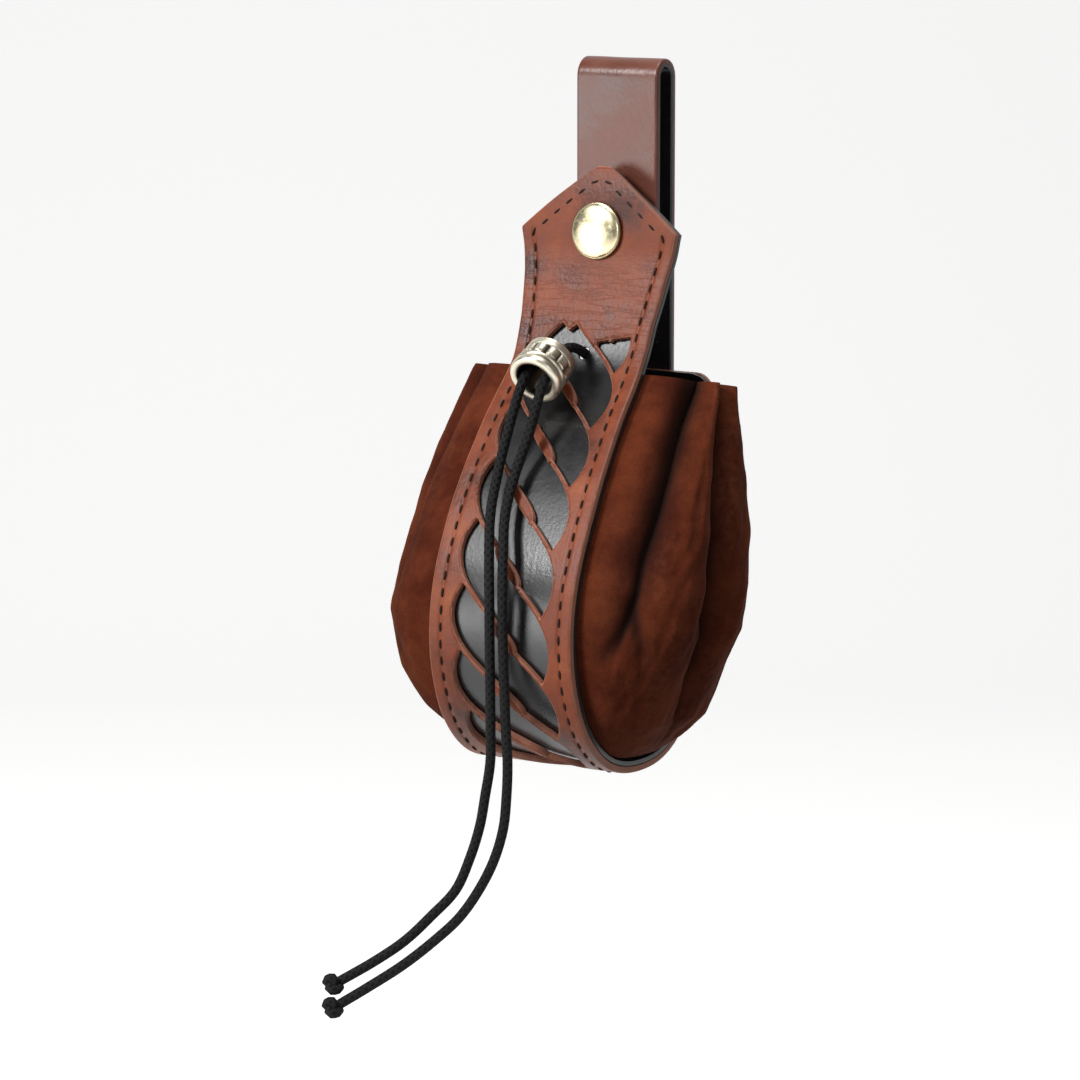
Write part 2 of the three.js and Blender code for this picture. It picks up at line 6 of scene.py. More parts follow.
import bpy
import numpy as np
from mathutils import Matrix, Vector


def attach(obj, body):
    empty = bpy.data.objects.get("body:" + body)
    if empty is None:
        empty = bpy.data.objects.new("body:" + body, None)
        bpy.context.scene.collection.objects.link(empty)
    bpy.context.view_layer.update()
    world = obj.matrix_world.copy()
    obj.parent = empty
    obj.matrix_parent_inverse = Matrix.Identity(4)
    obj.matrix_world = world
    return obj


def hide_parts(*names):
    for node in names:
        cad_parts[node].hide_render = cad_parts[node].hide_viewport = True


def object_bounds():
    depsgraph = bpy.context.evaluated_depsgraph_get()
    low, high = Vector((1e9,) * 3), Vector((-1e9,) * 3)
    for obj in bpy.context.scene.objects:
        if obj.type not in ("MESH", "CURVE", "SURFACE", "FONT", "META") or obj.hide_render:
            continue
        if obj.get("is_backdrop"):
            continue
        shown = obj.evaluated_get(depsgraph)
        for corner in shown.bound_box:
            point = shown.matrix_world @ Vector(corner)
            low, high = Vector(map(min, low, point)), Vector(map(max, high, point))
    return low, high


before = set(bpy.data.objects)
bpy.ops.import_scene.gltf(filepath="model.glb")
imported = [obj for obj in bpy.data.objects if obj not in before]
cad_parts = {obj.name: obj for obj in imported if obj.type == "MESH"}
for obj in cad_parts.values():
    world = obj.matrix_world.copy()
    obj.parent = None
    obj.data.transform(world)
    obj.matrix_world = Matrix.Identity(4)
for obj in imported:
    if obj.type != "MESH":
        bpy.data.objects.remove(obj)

LOG = logging.getLogger("belt_pouch")
MM = 0.001
CHART = 0.01  # chart units for each millimetre
FAR = 99.0  # a distance in millimetres that stands for far away
ROOT = "root"
Array = np.ndarray


class Slot(Enum):
    """Material slots named in the part's record."""

    LEATHER_BROWN = "leather_brown"
    LEATHER_BLACK = "leather_black"
    LEATHER_STRAP = "leather_strap"
    SUEDE = "suede"
    BRASS = "brass"
    PALE_METAL = "pale_metal"
    CORD_BLACK = "cord_black"


class Side(Enum):
    """The two gathered sides, by the sign of X."""

    LEFT = -1
    RIGHT = 1


# Shape of the pouch in millimetres, as in the part's source


@dataclass(frozen=True)
class Sizes:
    """Driving dimensions of the pouch."""

    seat: float = 0.3
    band: float = 2.0
    lining: float = 1.3
    suede: float = 2.0
    strap: float = 2.5
    channel_gap: float = 6.5
    channel_height: float = 39.0
    strap_width: float = 28.0
    front_leg_below_stud: float = 14.0
    back_leg_below_mouth: float = 34.0
    snap_drop: float = 28.8
    stud_height: float = 7.0
    post_radius: float = 2.2
    cap_radius: float = 8.5
    cap_height: float = 2.6
    head_height: float = 19.0
    head_lean: float = 3.7
    head_width: float = 54.0
    waist_width: float = 44.5
    band_width: float = 49.5
    back_width: float = 59.0
    corner_radius: float = 6.0
    neck_drop: float = 38.0
    body_height: float = 121.0
    body_depth: float = 74.5
    body_width: float = 112.0
    rim_drop: float = 8.0
    back_rise: float = 3.0
    seam_inset: float = 4.0
    seam_tuck: float = 0.6
    cord: float = 3.0
    cord_hole_radius: float = 1.9
    cord_spread: float = 7.2
    bead_shift: float = -3.2
    bead_length: float = 11.5
    bead_tilt: float = 16.0
    bead_rim: float = 8.3
    bead_waist: float = 7.3
    bead_bore: float = 5.7
    bead_drop: float = 10.0
    cord_tail: float = 0.6
    knot_radius: float = 3.2
    point_width: float = 8.0
    edge_ease: float = 0.6
    back_taper: float = 10.0
    strap_tip: float = 10.0
    strap_rounding: float = 6.0
    cord_hole_rise: float = 8.0
    cord_bend: float = 4.4
    cord_room: float = 2.0

    @property
    def skin(self) -> float:
        """Band and lining together."""
        return self.band + self.seat + self.lining

    @property
    def head_plane(self) -> float:
        """Y of the head's outer face."""
        return -(self.channel_gap / 2 + self.strap + self.stud_height + self.skin)

    @property
    def back_plane(self) -> float:
        """Y of the band's back."""
        return self.channel_gap / 2 - self.seat

    @property
    def snap_z(self) -> float:
        """Height of the press stud."""
        return -self.snap_drop

    @property
    def mouth_z(self) -> float:
        """Height of the mouth at the front."""
        return self.snap_z - self.neck_drop


SIZE = Sizes()


@dataclass(frozen=True)
class Curve:
    """A smooth curve through points, held as closely spaced samples."""

    points: Array
    lengths: Array

    @classmethod
    def through(cls, points: Array, steps: int = 40) -> "Curve":
        """Runs a centripetal curve through points.

        Args:
            points: The points it passes, one a row.
            steps: Samples from one point to the next.

        Returns:
            The sampled curve.
        """
        given = np.asarray(points, float)
        ends = [2 * given[0] - given[1], *given, 2 * given[-1] - given[-2]]
        share = np.linspace(0, 1, steps, endpoint=False)[:, None]
        made = []
        for i in range(1, len(ends) - 2):
            before, start, end, after = ends[i - 1], ends[i], ends[i + 1], ends[i + 2]
            gaps = [math.sqrt(max(1e-9, float(np.linalg.norm(b - a))))
                    for a, b in ((before, start), (start, end), (end, after))]
            leave = ((start - before) / gaps[0] - (end - before) / (gaps[0] + gaps[1])
                     + (end - start) / gaps[1]) * gaps[1]
            arrive = ((end - start) / gaps[1] - (after - start) / (gaps[1] + gaps[2])
                      + (after - end) / gaps[2]) * gaps[1]
            square = -3 * start + 3 * end - 2 * leave - arrive
            cube = 2 * start - 2 * end + leave + arrive
            made.append(start + leave * share + square * share**2 + cube * share**3)
        sampled = np.vstack([*made, given[-1:]])
        steps_long = np.linalg.norm(np.diff(sampled, axis=0), axis=1)
        return cls(sampled, np.concatenate([[0.0], np.cumsum(steps_long)]))

    @property
    def length(self) -> float:
        """Length from end to end."""
        return float(self.lengths[-1])

    def at(self, distance: Array) -> Array:
        """Points at these distances from the start."""
        return np.stack([np.interp(distance, self.lengths, self.points[:, k]) for k in range(3)], axis=-1)

    def along(self, distance: Array) -> Array:
        """Direction of the curve.

        Args:
            distance: Distances from the start.

        Returns:
            Unit directions.
        """
        reach = np.clip(distance, 0.05, self.length - 0.05)
        run = self.at(reach + 0.05) - self.at(reach - 0.05)
        return run / np.linalg.norm(run, axis=-1, keepdims=True)


# Side view of the head: share of its lean, share of its height
HEAD_ROWS = ((1.0, 1.0), (0.35, 0.55), (0.0, 0.0))
# Side view of the neck: share of the way forward, share of the drop
NECK_ROWS = ((0.03, 0.16), (0.24, 0.4), (0.56, 0.68))
# Side view of the body: share of its depth, share of its height, from the mouth round to the back
BODY_ROWS = (
    (0.426, 0.0), (0.61, 0.128), (0.814, 0.302), (0.957, 0.479), (1.0, 0.6), (0.985, 0.735),
    (0.895, 0.868), (0.728, 0.963), (0.513, 1.0), (0.259, 0.983), (0.084, 0.9), (0.009, 0.752),
    (0.0, 0.545), (0.0, 0.3),
)


@dataclass(frozen=True)
class BandSurface:
    """The band's outer face, addressed by x and by the distance from the head's point."""

    size: Sizes
    profile: Curve
    snap: float
    mouth: float
    bottom: float
    heights: Array
    distances: Array

    @classmethod
    def make(cls, size: Sizes) -> "BandSurface":
        """Runs the side view down the front, under the body and up the back.

        Args:
            size: The pouch's dimensions.

        Returns:
            The surface.
        """
        mouth_plane = size.back_plane - BODY_ROWS[0][0] * size.body_depth
        rows = [(0, size.head_plane + back * size.head_lean, size.snap_z + up * size.head_height)
                for back, up in HEAD_ROWS]
        rows += [(0, size.head_plane + forward * (mouth_plane - size.head_plane),
                  size.snap_z - down * size.neck_drop) for forward, down in NECK_ROWS]
        rows += [(0, size.back_plane - forward * size.body_depth, size.mouth_z - down * size.body_height)
                 for forward, down in BODY_ROWS]
        rows.append((0, size.back_plane, size.mouth_z - size.rim_drop + size.back_rise))
        profile = Curve.through(np.array(rows), 60)
        distances = np.linspace(0, profile.length, 1601)
        heights = profile.at(distances)[:, 2]
        bottom = float(distances[int(np.argmin(heights))])
        front = distances <= bottom
        snap, mouth = (float(np.interp(-z, -heights[front], distances[front]))
                       for z in (size.snap_z, size.mouth_z))
        return cls(size, profile, snap, mouth, bottom, heights, distances)

    def front(self, z: Array) -> Array:
        """Distance at which the front is at a height."""
        rows = self.distances <= self.bottom
        return np.interp(-np.asarray(z), -self.heights[rows], self.distances[rows])

    def back(self, z: Array) -> Array:
        """Distance at which the back is at a height."""
        rows = self.distances >= self.bottom
        return np.interp(np.asarray(z), self.heights[rows], self.distances[rows])

    def inward(self, distance: Array) -> Array:
        """Unit directions into the pouch."""
        along = self.profile.along(distance)
        return np.stack([np.zeros_like(along[..., 0]), -along[..., 2], along[..., 1]], axis=-1)

    def place(self, x: Array, distance: Array, depth: Array) -> Array:
        """Points at x, at a distance along the band and a depth below its face.

        Args:
            x: Places across the band.
            distance: Places along the band.
            depth: Depths below the outer face, negative above it.

        Returns:
            The points, one more axis than the arguments.
        """
        x, distance, depth = np.broadcast_arrays(*(np.asarray(v, float) for v in (x, distance, depth)))
        point = self.profile.at(distance) + self.inward(distance) * depth[..., None]
        point[..., 0] = x
        return point

    def half_width(self, distance: Array) -> Array:
        """Half of the band's width.

        Args:
            distance: Distances along the band.

        Returns:
            A half-width for each.
        """
        size = self.size
        distance = np.asarray(distance, float)
        point_half = size.point_width / 2
        at = [self.snap, self.snap + 0.33 * size.neck_drop, self.snap + 0.7 * size.neck_drop, self.mouth,
              self.mouth + 0.4 * size.body_height, self.mouth + size.body_height,
              self.bottom + 0.4 * size.body_height, self.profile.length - size.back_taper,
              self.profile.length]
        head, waist, lower, back = (width / 2 for width in (
            size.head_width, size.waist_width, size.band_width, size.back_width))
        half = [head, (head + waist) / 2, waist + size.edge_ease, waist, lower - size.edge_ease, lower,
                lower, back, back]
        body = np.interp(distance, at, half)
        from_end = np.clip(self.profile.length - distance, 0, size.corner_radius)
        body -= size.corner_radius - np.sqrt(size.corner_radius**2 - (size.corner_radius - from_end) ** 2)
        rise = np.sin(np.clip((distance + 0.8) / self.snap, 0, 1) * math.pi / 2) ** 0.25
        pointed = point_half * rise + (head - point_half) * (distance / self.snap)
        return np.where(distance < self.snap, np.minimum(head, pointed), body)


BAND = BandSurface.make(SIZE)
BEAD_DISTANCE = BAND.mouth + SIZE.bead_drop
HOLE_DISTANCE = BEAD_DISTANCE - SIZE.bead_length / 2 - SIZE.cord_hole_rise
CORD_PLACES = {side: SIZE.bead_shift + side.value * SIZE.cord_spread / 2 for side in Side}


# The plait of three strands, as a signed distance in the band's own plane


@dataclass(frozen=True)
class Plait:
    """The cut-through plait: negative where the brown leather is cut away."""

    width: float = 33.6
    strand: float = 11.6
    line: float = 1.1
    repeat: float = 60.0
    strands: int = 9
    rise: float = 8.0
    length: float = 160.0
    first_bend: float = -28.2
    over: tuple[float, float] = (-20.0, 200.0)
    run: tuple[float, float] = (-75.0, 255.0)

    @property
    def top(self) -> float:
        """Distance at which the plait starts."""
        return BAND.mouth - self.rise

    def centreline(self, strand: int, start: float, stop: float, steps: int = 30) -> Array | None:
        """Places down the middle of a strand.

        Args:
            strand: Number of the strand, from the top.
            start: Angle at which the piece starts, 0 at the left bend, in degrees.
            stop: Angle at which it stops.
            steps: Pieces of the line.

        Returns:
            Rows of x and distance, or None where the plait doesn't hold the piece.
        """
        bend = self.first_bend + strand * self.repeat / 3
        low, high = (-bend / self.repeat * 360, (self.length - bend) / self.repeat * 360)
        start, stop = max(start, low), min(stop, high)
        if stop <= start:
            return None
        angle = np.linspace(start, stop, steps + 1)
        reach = (self.width - self.strand) / 2
        return np.stack([-reach * np.cos(np.radians(angle)), self.top + bend + angle / 360 * self.repeat], 1)

    @staticmethod
    def ribbon(points: Array, line: Array | None, half: float) -> Array:
        """Signed distance to a ribbon with square ends.

        Args:
            points: Rows of x and distance.
            line: The ribbon's middle.
            half: Half of its width.

        Returns:
            A distance for each point, negative inside.
        """
        whole = np.full(len(points), FAR)
        if line is None:
            return whole
        reach = half + 6
        near = (points[:, 1] > line[0, 1] - reach) & (points[:, 1] < line[-1, 1] + reach)
        spots = points[near]
        best = np.full(len(spots), 1e4)
        beyond = np.zeros(len(spots))
        last = len(line) - 2
        for i in range(len(line) - 1):
            run = line[i + 1] - line[i]
            size = math.hypot(run[0], run[1])
            off_x = spots[:, 0] - line[i, 0]
            off_d = spots[:, 1] - line[i, 1]
            share = (off_x * run[0] + off_d * run[1]) / size**2
            held = np.clip(share, 0, 1)
            gap = (off_x - held * run[0]) ** 2 + (off_d - held * run[1]) ** 2
            nearer = gap < best
            best[nearer] = gap[nearer]
            past = -share if i == 0 else share - 1
            beyond[nearer] = np.maximum(0, past[nearer] * size) if i in (0, last) else 0
        whole[near] = np.where(beyond > 0, np.maximum(beyond, np.sqrt(best) - half), np.sqrt(best) - half)
        return whole

    def distance(self, points: Array) -> Array:
        """Signed distance to the plait's openings.

        Args:
            points: Rows of x and distance.

        Returns:
            A distance for each point, negative inside an opening.
        """
        whole = np.full(len(points), FAR)
        near = (points[:, 1] > self.top - 12) & (points[:, 1] < self.top + self.length + 12)
        inside = points[near]
        overs = [self.ribbon(inside, self.centreline(n, *self.over), self.strand / 2 + self.line)
                 for n in range(self.strands)]
        found = np.full(len(inside), FAR)
        for n in range(self.strands):
            run = self.ribbon(inside, self.centreline(n, *self.run), self.strand / 2)
            for other in (n - 1, n + 1):
                if 0 <= other < self.strands:
                    run = np.maximum(run, -overs[other])
            found = np.minimum(found, run)
        whole[near] = found
        return whole


PLAIT = Plait()


def punched(points: Array) -> Array:
    """Signed distance to the round holes for the post and the two cords.

    Args:
        points: Rows of x and distance.

    Returns:
        A distance for each point, negative inside a hole.
    """
    holes = [(0.0, BAND.snap, SIZE.post_radius + 0.4)]
    holes += [(x, HOLE_DISTANCE, SIZE.cord_hole_radius) for x in CORD_PLACES.values()]
    return np.min([np.hypot(points[:, 0] - x, points[:, 1] - d) - r for x, d, r in holes], axis=0)


# Mesh helpers


@dataclass
class Piece:
    """Points, faces and named values of one mesh, in millimetres until it is made."""

    name: str
    points: Array
    faces: list
    uv: Array | None = None
    values: dict[str, Array] = field(default_factory=dict)
    sharp: float = 42.0

    def build(self, material: bpy.types.Material, slot: Slot, *nodes: str) -> bpy.types.Object:
        """Makes the object, gives it its finish and lets it stand for CAD nodes.

        Args:
            material: The piece's finish.
            slot: The record's slot for it; not used.
            nodes: CAD nodes that it replaces.

        Returns:
            The new object.
        """
        mesh = bpy.data.meshes.new(self.name)
        mesh.from_pydata((np.asarray(self.points) * MM).tolist(), [], [list(f) for f in self.faces])
        if self.uv is not None:
            layer = mesh.uv_layers.new(name="UVMap")
            corners = np.empty(len(mesh.loops), np.int32)
            mesh.loops.foreach_get("vertex_index", corners)
            layer.data.foreach_set("uv", (np.asarray(self.uv)[corners]).astype(np.float32).ravel())
        for label, value in self.values.items():
            attribute = mesh.attributes.new(label, "FLOAT", "POINT")
            attribute.data.foreach_set("value", np.asarray(value, np.float32))
        mesh.materials.append(material)
        mesh.shade_smooth()
        mesh.set_sharp_from_angle(angle=math.radians(self.sharp))
        mesh.validate()
        made = bpy.data.objects.new(self.name, mesh)
        bpy.context.scene.collection.objects.link(made)
        if nodes:
            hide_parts(*nodes)
        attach(made, ROOT)
        LOG.info("%s: %d faces", self.name, len(mesh.polygons))
        return made


def grid_faces(rows: int, columns: int, start: int = 0, wrap: bool = False, flip: bool = False) -> Array:
    """Four-sided faces of a grid of points, stored row by row.

    Args:
        rows: Rows of points.
        columns: Points in a row.
        start: Number of the first point.
        wrap: Whether each row closes into a ring.
        flip: Whether the faces look the other way.

    Returns:
        One face a row.
    """
    r, c = np.meshgrid(np.arange(rows - 1), np.arange(columns if wrap else columns - 1), indexing="ij")
    after = (c + 1) % columns
    faces = np.stack([r * columns + c, r * columns + after, (r + 1) * columns + after,
                      (r + 1) * columns + c], -1).reshape(-1, 4) + start
    return faces[:, ::-1] if flip else faces


def rim_edges(faces: Array) -> Array:
    """Edges that only one face has.

    Args:
        faces: Faces, one a row.

    Returns:
        Rows of two point numbers, in the face's own direction.
    """
    edges = np.concatenate([faces[:, [k, (k + 1) % faces.shape[1]]] for k in range(faces.shape[1])])
    keys = np.sort(edges, axis=1)
    _, first, count = np.unique(keys, axis=0, return_index=True, return_counts=True)
    return edges[first[count == 1]]


def thickened(faces: Array, count: int) -> Array:
    """Closes a sheet with its copy behind it.

    Args:
        faces: Faces of the outer side.
        count: Points on each side.

    Returns:
        The faces of both sides and of the rim between them.
    """
    rim = rim_edges(faces)
    walls = np.stack([rim[:, 1], rim[:, 0], rim[:, 0] + count, rim[:, 1] + count], 1)
    return np.concatenate([faces, faces[:, ::-1] + count, walls])


def lattice(u: Array, v: Array, seed: int) -> Array:
    """Smooth noise over two coordinates.

    Args:
        u: First coordinate.
        v: Second coordinate.
        seed: Seed of the table behind it.

    Returns:
        Values from 0 to 1.
    """
    table = np.random.default_rng(seed).random((64, 64))
    cell_u, cell_v = np.floor(u).astype(int), np.floor(v).astype(int)
    part_u, part_v = u - cell_u, v - cell_v
    ease_u, ease_v = part_u**2 * (3 - 2 * part_u), part_v**2 * (3 - 2 * part_v)
    corner = [[table[(cell_u + i) % 64, (cell_v + j) % 64] for j in (0, 1)] for i in (0, 1)]
    low = corner[0][0] * (1 - ease_v) + corner[0][1] * ease_v
    high = corner[1][0] * (1 - ease_v) + corner[1][1] * ease_v
    return low * (1 - ease_u) + high * ease_u


def turned(rows: Array, sides: int) -> tuple[Array, Array]:
    """Turns a profile about Z.

    Args:
        rows: A radius and a height on each row.
        sides: Points round it.

    Returns:
        Points and faces.
    """
    angle = np.linspace(0, 2 * math.pi, sides, endpoint=False)
    rows = np.asarray(rows, float)
    points = np.stack([rows[:, :1] * np.cos(angle), rows[:, :1] * np.sin(angle),
                       np.repeat(rows[:, 1:], sides, 1)], -1)
    return points.reshape(-1, 3), grid_faces(len(rows), sides, wrap=True)


def aimed(points: Array, axis: Array, centre: Array) -> Array:
    """Turns points from +Z to an axis and moves them to a centre."""
    turn = np.array(Vector((0, 0, 1)).rotation_difference(Vector(axis)).to_matrix())
    return points @ turn.T + centre


def swept(curve: Curve, radius: float, sides: int, step: float) -> tuple[Array, Array, Array, Array]:
    """A round tube along a curve.

    Args:
        curve: Its middle.
        radius: Its radius.
        sides: Points round it.
        step: Distance between rings.

    Returns:
        Points, faces, places round and along it, and the ring centres.
    """
    rings = max(4, int(curve.length / step))
    distance = np.linspace(0, curve.length, rings)
    centre, along = curve.at(distance), curve.along(distance)
    side = np.zeros_like(centre)
    guide = np.array([1.0, 0.0, 0.0]) if abs(along[0][0]) < 0.9 else np.array([0.0, 1.0, 0.0])
    for i in range(rings):
        guide = guide - along[i] * (guide @ along[i])
        guide = guide / np.linalg.norm(guide)
        side[i] = guide
    other = np.cross(along, side)
    angle = np.linspace(0, 2 * math.pi, sides, endpoint=False)
    points = centre[:, None] + radius * (np.cos(angle)[None, :, None] * side[:, None]
                                         + np.sin(angle)[None, :, None] * other[:, None])
    faces = [*grid_faces(rings, sides, wrap=True).tolist(), list(range(sides))[::-1],
             [(rings - 1) * sides + k for k in range(sides)]]
    places = np.stack([np.tile(angle / (2 * math.pi), rings), np.repeat(distance, sides)], 1)
    return points.reshape(-1, 3), faces, places, centre


# Finishes


class NodeMaker:
    """Adds nodes to one tree and links them."""

    def __init__(self, tree: bpy.types.NodeTree) -> None:
        """Keeps the tree."""
        self.tree = tree

    def add(self, kind: str, inputs: dict | None = None, **settings: object) -> bpy.types.Node:
        """Adds a node.

        Args:
            kind: Its class.
            inputs: Numbers, colours or sockets for its inputs, by name or number.
            settings: Its own properties.

        Returns:
            The node.
        """
        made = self.tree.nodes.new(kind)
        for name, value in settings.items():
            setattr(made, name, value)
        for name, value in (inputs or {}).items():
            if isinstance(value, bpy.types.NodeSocket):
                self.tree.links.new(value, made.inputs[name])
            else:
                made.inputs[name].default_value = value
        return made

    def math(self, operation: str, a: object, b: object = 0.0) -> bpy.types.NodeSocket:
        """Result of a sum on two values."""
        return self.add("ShaderNodeMath", {0: a, 1: b}, operation=operation).outputs[0]

    def mix(self, share: object, a: object, b: object) -> bpy.types.NodeSocket:
        """A colour between two colours."""
        return self.add("ShaderNodeMix", {0: share, 6: a, 7: b}, data_type="RGBA").outputs[2]

    def span(self, value: object, low: float, high: float, to_low: float = 0.0,
             to_high: float = 1.0) -> bpy.types.NodeSocket:
        """A value moved smoothly from one range to another."""
        ends = {"Value": value, "From Min": low, "From Max": high, "To Min": to_low, "To Max": to_high}
        return self.add("ShaderNodeMapRange", ends, interpolation_type="SMOOTHSTEP").outputs[0]

    def noise(self, vector: object, scale: float, detail: float = 4.0,
              rough: float = 0.55) -> bpy.types.NodeSocket:
        """Smooth noise."""
        inputs = {"Vector": vector, "Scale": scale, "Detail": detail, "Roughness": rough}
        return self.add("ShaderNodeTexNoise", inputs).outputs[0]

    def where(self) -> bpy.types.NodeSocket:
        """Object coordinates."""
        return self.add("ShaderNodeTexCoord").outputs["Object"]

    def chart(self, across: float = 1.0, down: float = 1.0) -> bpy.types.NodeSocket:
        """The piece's own coordinates, stretched."""
        flat = self.add("ShaderNodeTexCoord").outputs["UV"]
        return self.add("ShaderNodeMapping", {"Vector": flat, "Scale": (across, down, 1.0)}).outputs[0]

    def value(self, name: str) -> bpy.types.NodeSocket:
        """A value stored on the piece's points."""
        return self.add("ShaderNodeAttribute", attribute_name=name).outputs["Fac"]

    def group(self, tree: bpy.types.NodeTree, **inputs: object) -> bpy.types.Node:
        """A shared effect, with its inputs by name."""
        named = {name.replace("_", " ").capitalize(): value for name, value in inputs.items()}
        return self.add("ShaderNodeGroup", named, node_tree=tree)


def shared_effect(name: str, inputs: dict[str, str], outputs: tuple[str, ...]) -> tuple[
        bpy.types.NodeTree, NodeMaker, bpy.types.Node, bpy.types.Node]:
    """Starts a shader node group.

    Args:
        name: Its name.
        inputs: Kind of each input socket.
        outputs: Its outputs, all plain values.

    Returns:
        The group, its node maker and its input and output nodes.
    """
    tree = bpy.data.node_groups.new(name, "ShaderNodeTree")
    for label, kind in inputs.items():
        tree.interface.new_socket(label, in_out="INPUT", socket_type=kind)
    for label in outputs:
        tree.interface.new_socket(label, in_out="OUTPUT", socket_type="NodeSocketFloat")
    maker = NodeMaker(tree)
    return tree, maker, maker.add("NodeGroupInput"), maker.add("NodeGroupOutput")


def grain_effect() -> bpy.types.NodeTree:
    """Leather grain: small rounded cells, finer pores and broad clouds.

    Returns:
        The group.
    """
    tree, make, given, out = shared_effect(
        "Leather grain", {"Vector": "NodeSocketVector", "Cells": "NodeSocketFloat"}, ("Height", "Clouds"))
    cells = make.add("ShaderNodeTexVoronoi", {"Vector": given.outputs[0], "Scale": given.outputs[1]},
                     feature="SMOOTH_F1").outputs[0]
    pores = make.noise(given.outputs[0], 2600.0, 3.0)
    height = make.math("ADD", make.math("MULTIPLY", cells, 0.7), make.math("MULTIPLY", pores, 0.5))
    make.tree.links.new(height, out.inputs[0])
    make.tree.links.new(make.noise(given.outputs[0], 46.0, 5.0, 0.6), out.inputs[1])
    return tree


def wear_effect() -> bpy.types.NodeTree:
    """Rubbed edges: one where the stored distance to an edge is small, broken up by noise.

    Returns:
        The group.
    """
    tree, make, given, out = shared_effect(
        "Rubbed edge", {"Vector": "NodeSocketVector", "Edge": "NodeSocketFloat"}, ("Rubbed",))
    broken = make.noise(given.outputs[0], 320.0, 4.0)
    reach = make.math("ADD", given.outputs[1], make.math("MULTIPLY", broken, 0.5))
    make.tree.links.new(make.span(reach, 0.2, 0.8, 1.0, 0.0), out.inputs[0])
    return tree


def scratch_effect() -> bpy.types.NodeTree:
    """Fine scratches: thin streaks over two coordinates.

    Returns:
        The group.
    """
    tree, make, given, out = shared_effect("Fine scratches", {"Vector": "NodeSocketVector"}, ("Scratch",))
    streaks = make.noise(given.outputs[0], 1.0, 2.0, 0.4)
    make.tree.links.new(make.span(streaks, 0.62, 0.7), out.inputs[0])
    return tree


@dataclass
class Surface:
    """A material with one Principled shader, and the maker of its nodes."""

    name: str
    fixed: dict[str, object]

    def __post_init__(self) -> None:
        """Makes the material and sets the shader's constants."""
        self.material = bpy.data.materials.new(self.name)
        self.material.use_nodes = True
        self.make = NodeMaker(self.material.node_tree)
        self.shader = self.material.node_tree.nodes["Principled BSDF"]
        for label, value in self.fixed.items():
            self.shader.inputs[label].default_value = value

    def link(self, **sockets: bpy.types.NodeSocket) -> bpy.types.Material:
        """Links what varies over the surface.

        Args:
            sockets: Sources by the shader input's name, with underscores for spaces.

        Returns:
            The finished material.
        """
        for label, source in sockets.items():
            self.make.tree.links.new(source, self.shader.inputs[label.replace("_", " ")])
        return self.material

    def relief(self, height: object, strength: float, depth: float) -> bpy.types.NodeSocket:
        """Normals of a bump."""
        inputs = {"Strength": strength, "Distance": depth, "Height": height}
        return self.make.add("ShaderNodeBump", inputs).outputs[0]


@dataclass(frozen=True)
class Effects:
    """Shader groups that more than one finish uses."""

    grain: bpy.types.NodeTree
    wear: bpy.types.NodeTree
    scratch: bpy.types.NodeTree


@dataclass(frozen=True)
class Leather:
    """Smooth leather with grain, clouds, rubbed edges and creases."""

    name: str
    dark: tuple
    middle: tuple
    light: tuple
    rubbed: tuple
    rough: float
    cells: float = 900.0
    bump: float = 0.25
    coat: float = 0.0
    gloss: float = 0.5
    creases: bool = False
    reverse: tuple | None = None

    def build(self, effects: Effects) -> bpy.types.Material:
        """Makes the material.

        Args:
            effects: The shared shader groups.

        Returns:
            The material.
        """
        surface = Surface(self.name, {
            "Coat Weight": self.coat, "Coat Roughness": 0.3, "Specular IOR Level": self.gloss})
        make = surface.make
        where = make.where()
        grain = make.group(effects.grain, vector=where, cells=self.cells)
        clouds = grain.outputs["Clouds"]
        colour = make.mix(make.span(clouds, 0.3, 0.55), self.dark, self.middle)
        colour = make.mix(make.span(clouds, 0.5, 0.78), colour, self.light)
        height = grain.outputs["Height"]
        if self.creases:
            line = make.noise(make.chart(5.0, 34.0), 1.0, 4.0, 0.55)
            crease = make.math("MULTIPLY", make.span(make.math("ABSOLUTE", make.math("SUBTRACT", line, 0.5)),
                                                     0.0, 0.045, 1.0, 0.0), make.value("creased"))
            # Painted shade in the neck's creases; the creases' relief itself is the bump below.
            colour = make.mix(make.math("MULTIPLY", crease, 0.16), colour, self.dark)
            height = make.math("SUBTRACT", height, make.math("MULTIPLY", crease, 0.55))
            # Painted shade along the band's right edge, from the stored shade value.
            colour = make.mix(make.value("shade"), colour, self.dark)
        scratch = make.group(effects.scratch, vector=make.chart(60.0, 700.0)).outputs[0]
        colour = make.mix(make.math("MULTIPLY", scratch, 0.25), colour, self.light)
        worn = make.group(effects.wear, vector=where, edge=make.value("edge")).outputs[0]
        colour = make.mix(make.math("MULTIPLY", worn, 0.75), colour, self.rubbed)
        if self.reverse:
            colour = make.mix(make.value("reverse"), colour, self.reverse)
        rough = make.math("ADD", make.span(clouds, 0.3, 0.7, self.rough - 0.06, self.rough + 0.08),
                          make.math("MULTIPLY", worn, 0.15))
        relief = surface.relief(height, self.bump, 0.0004)
        return surface.link(Base_Color=colour, Roughness=rough, Normal=relief)


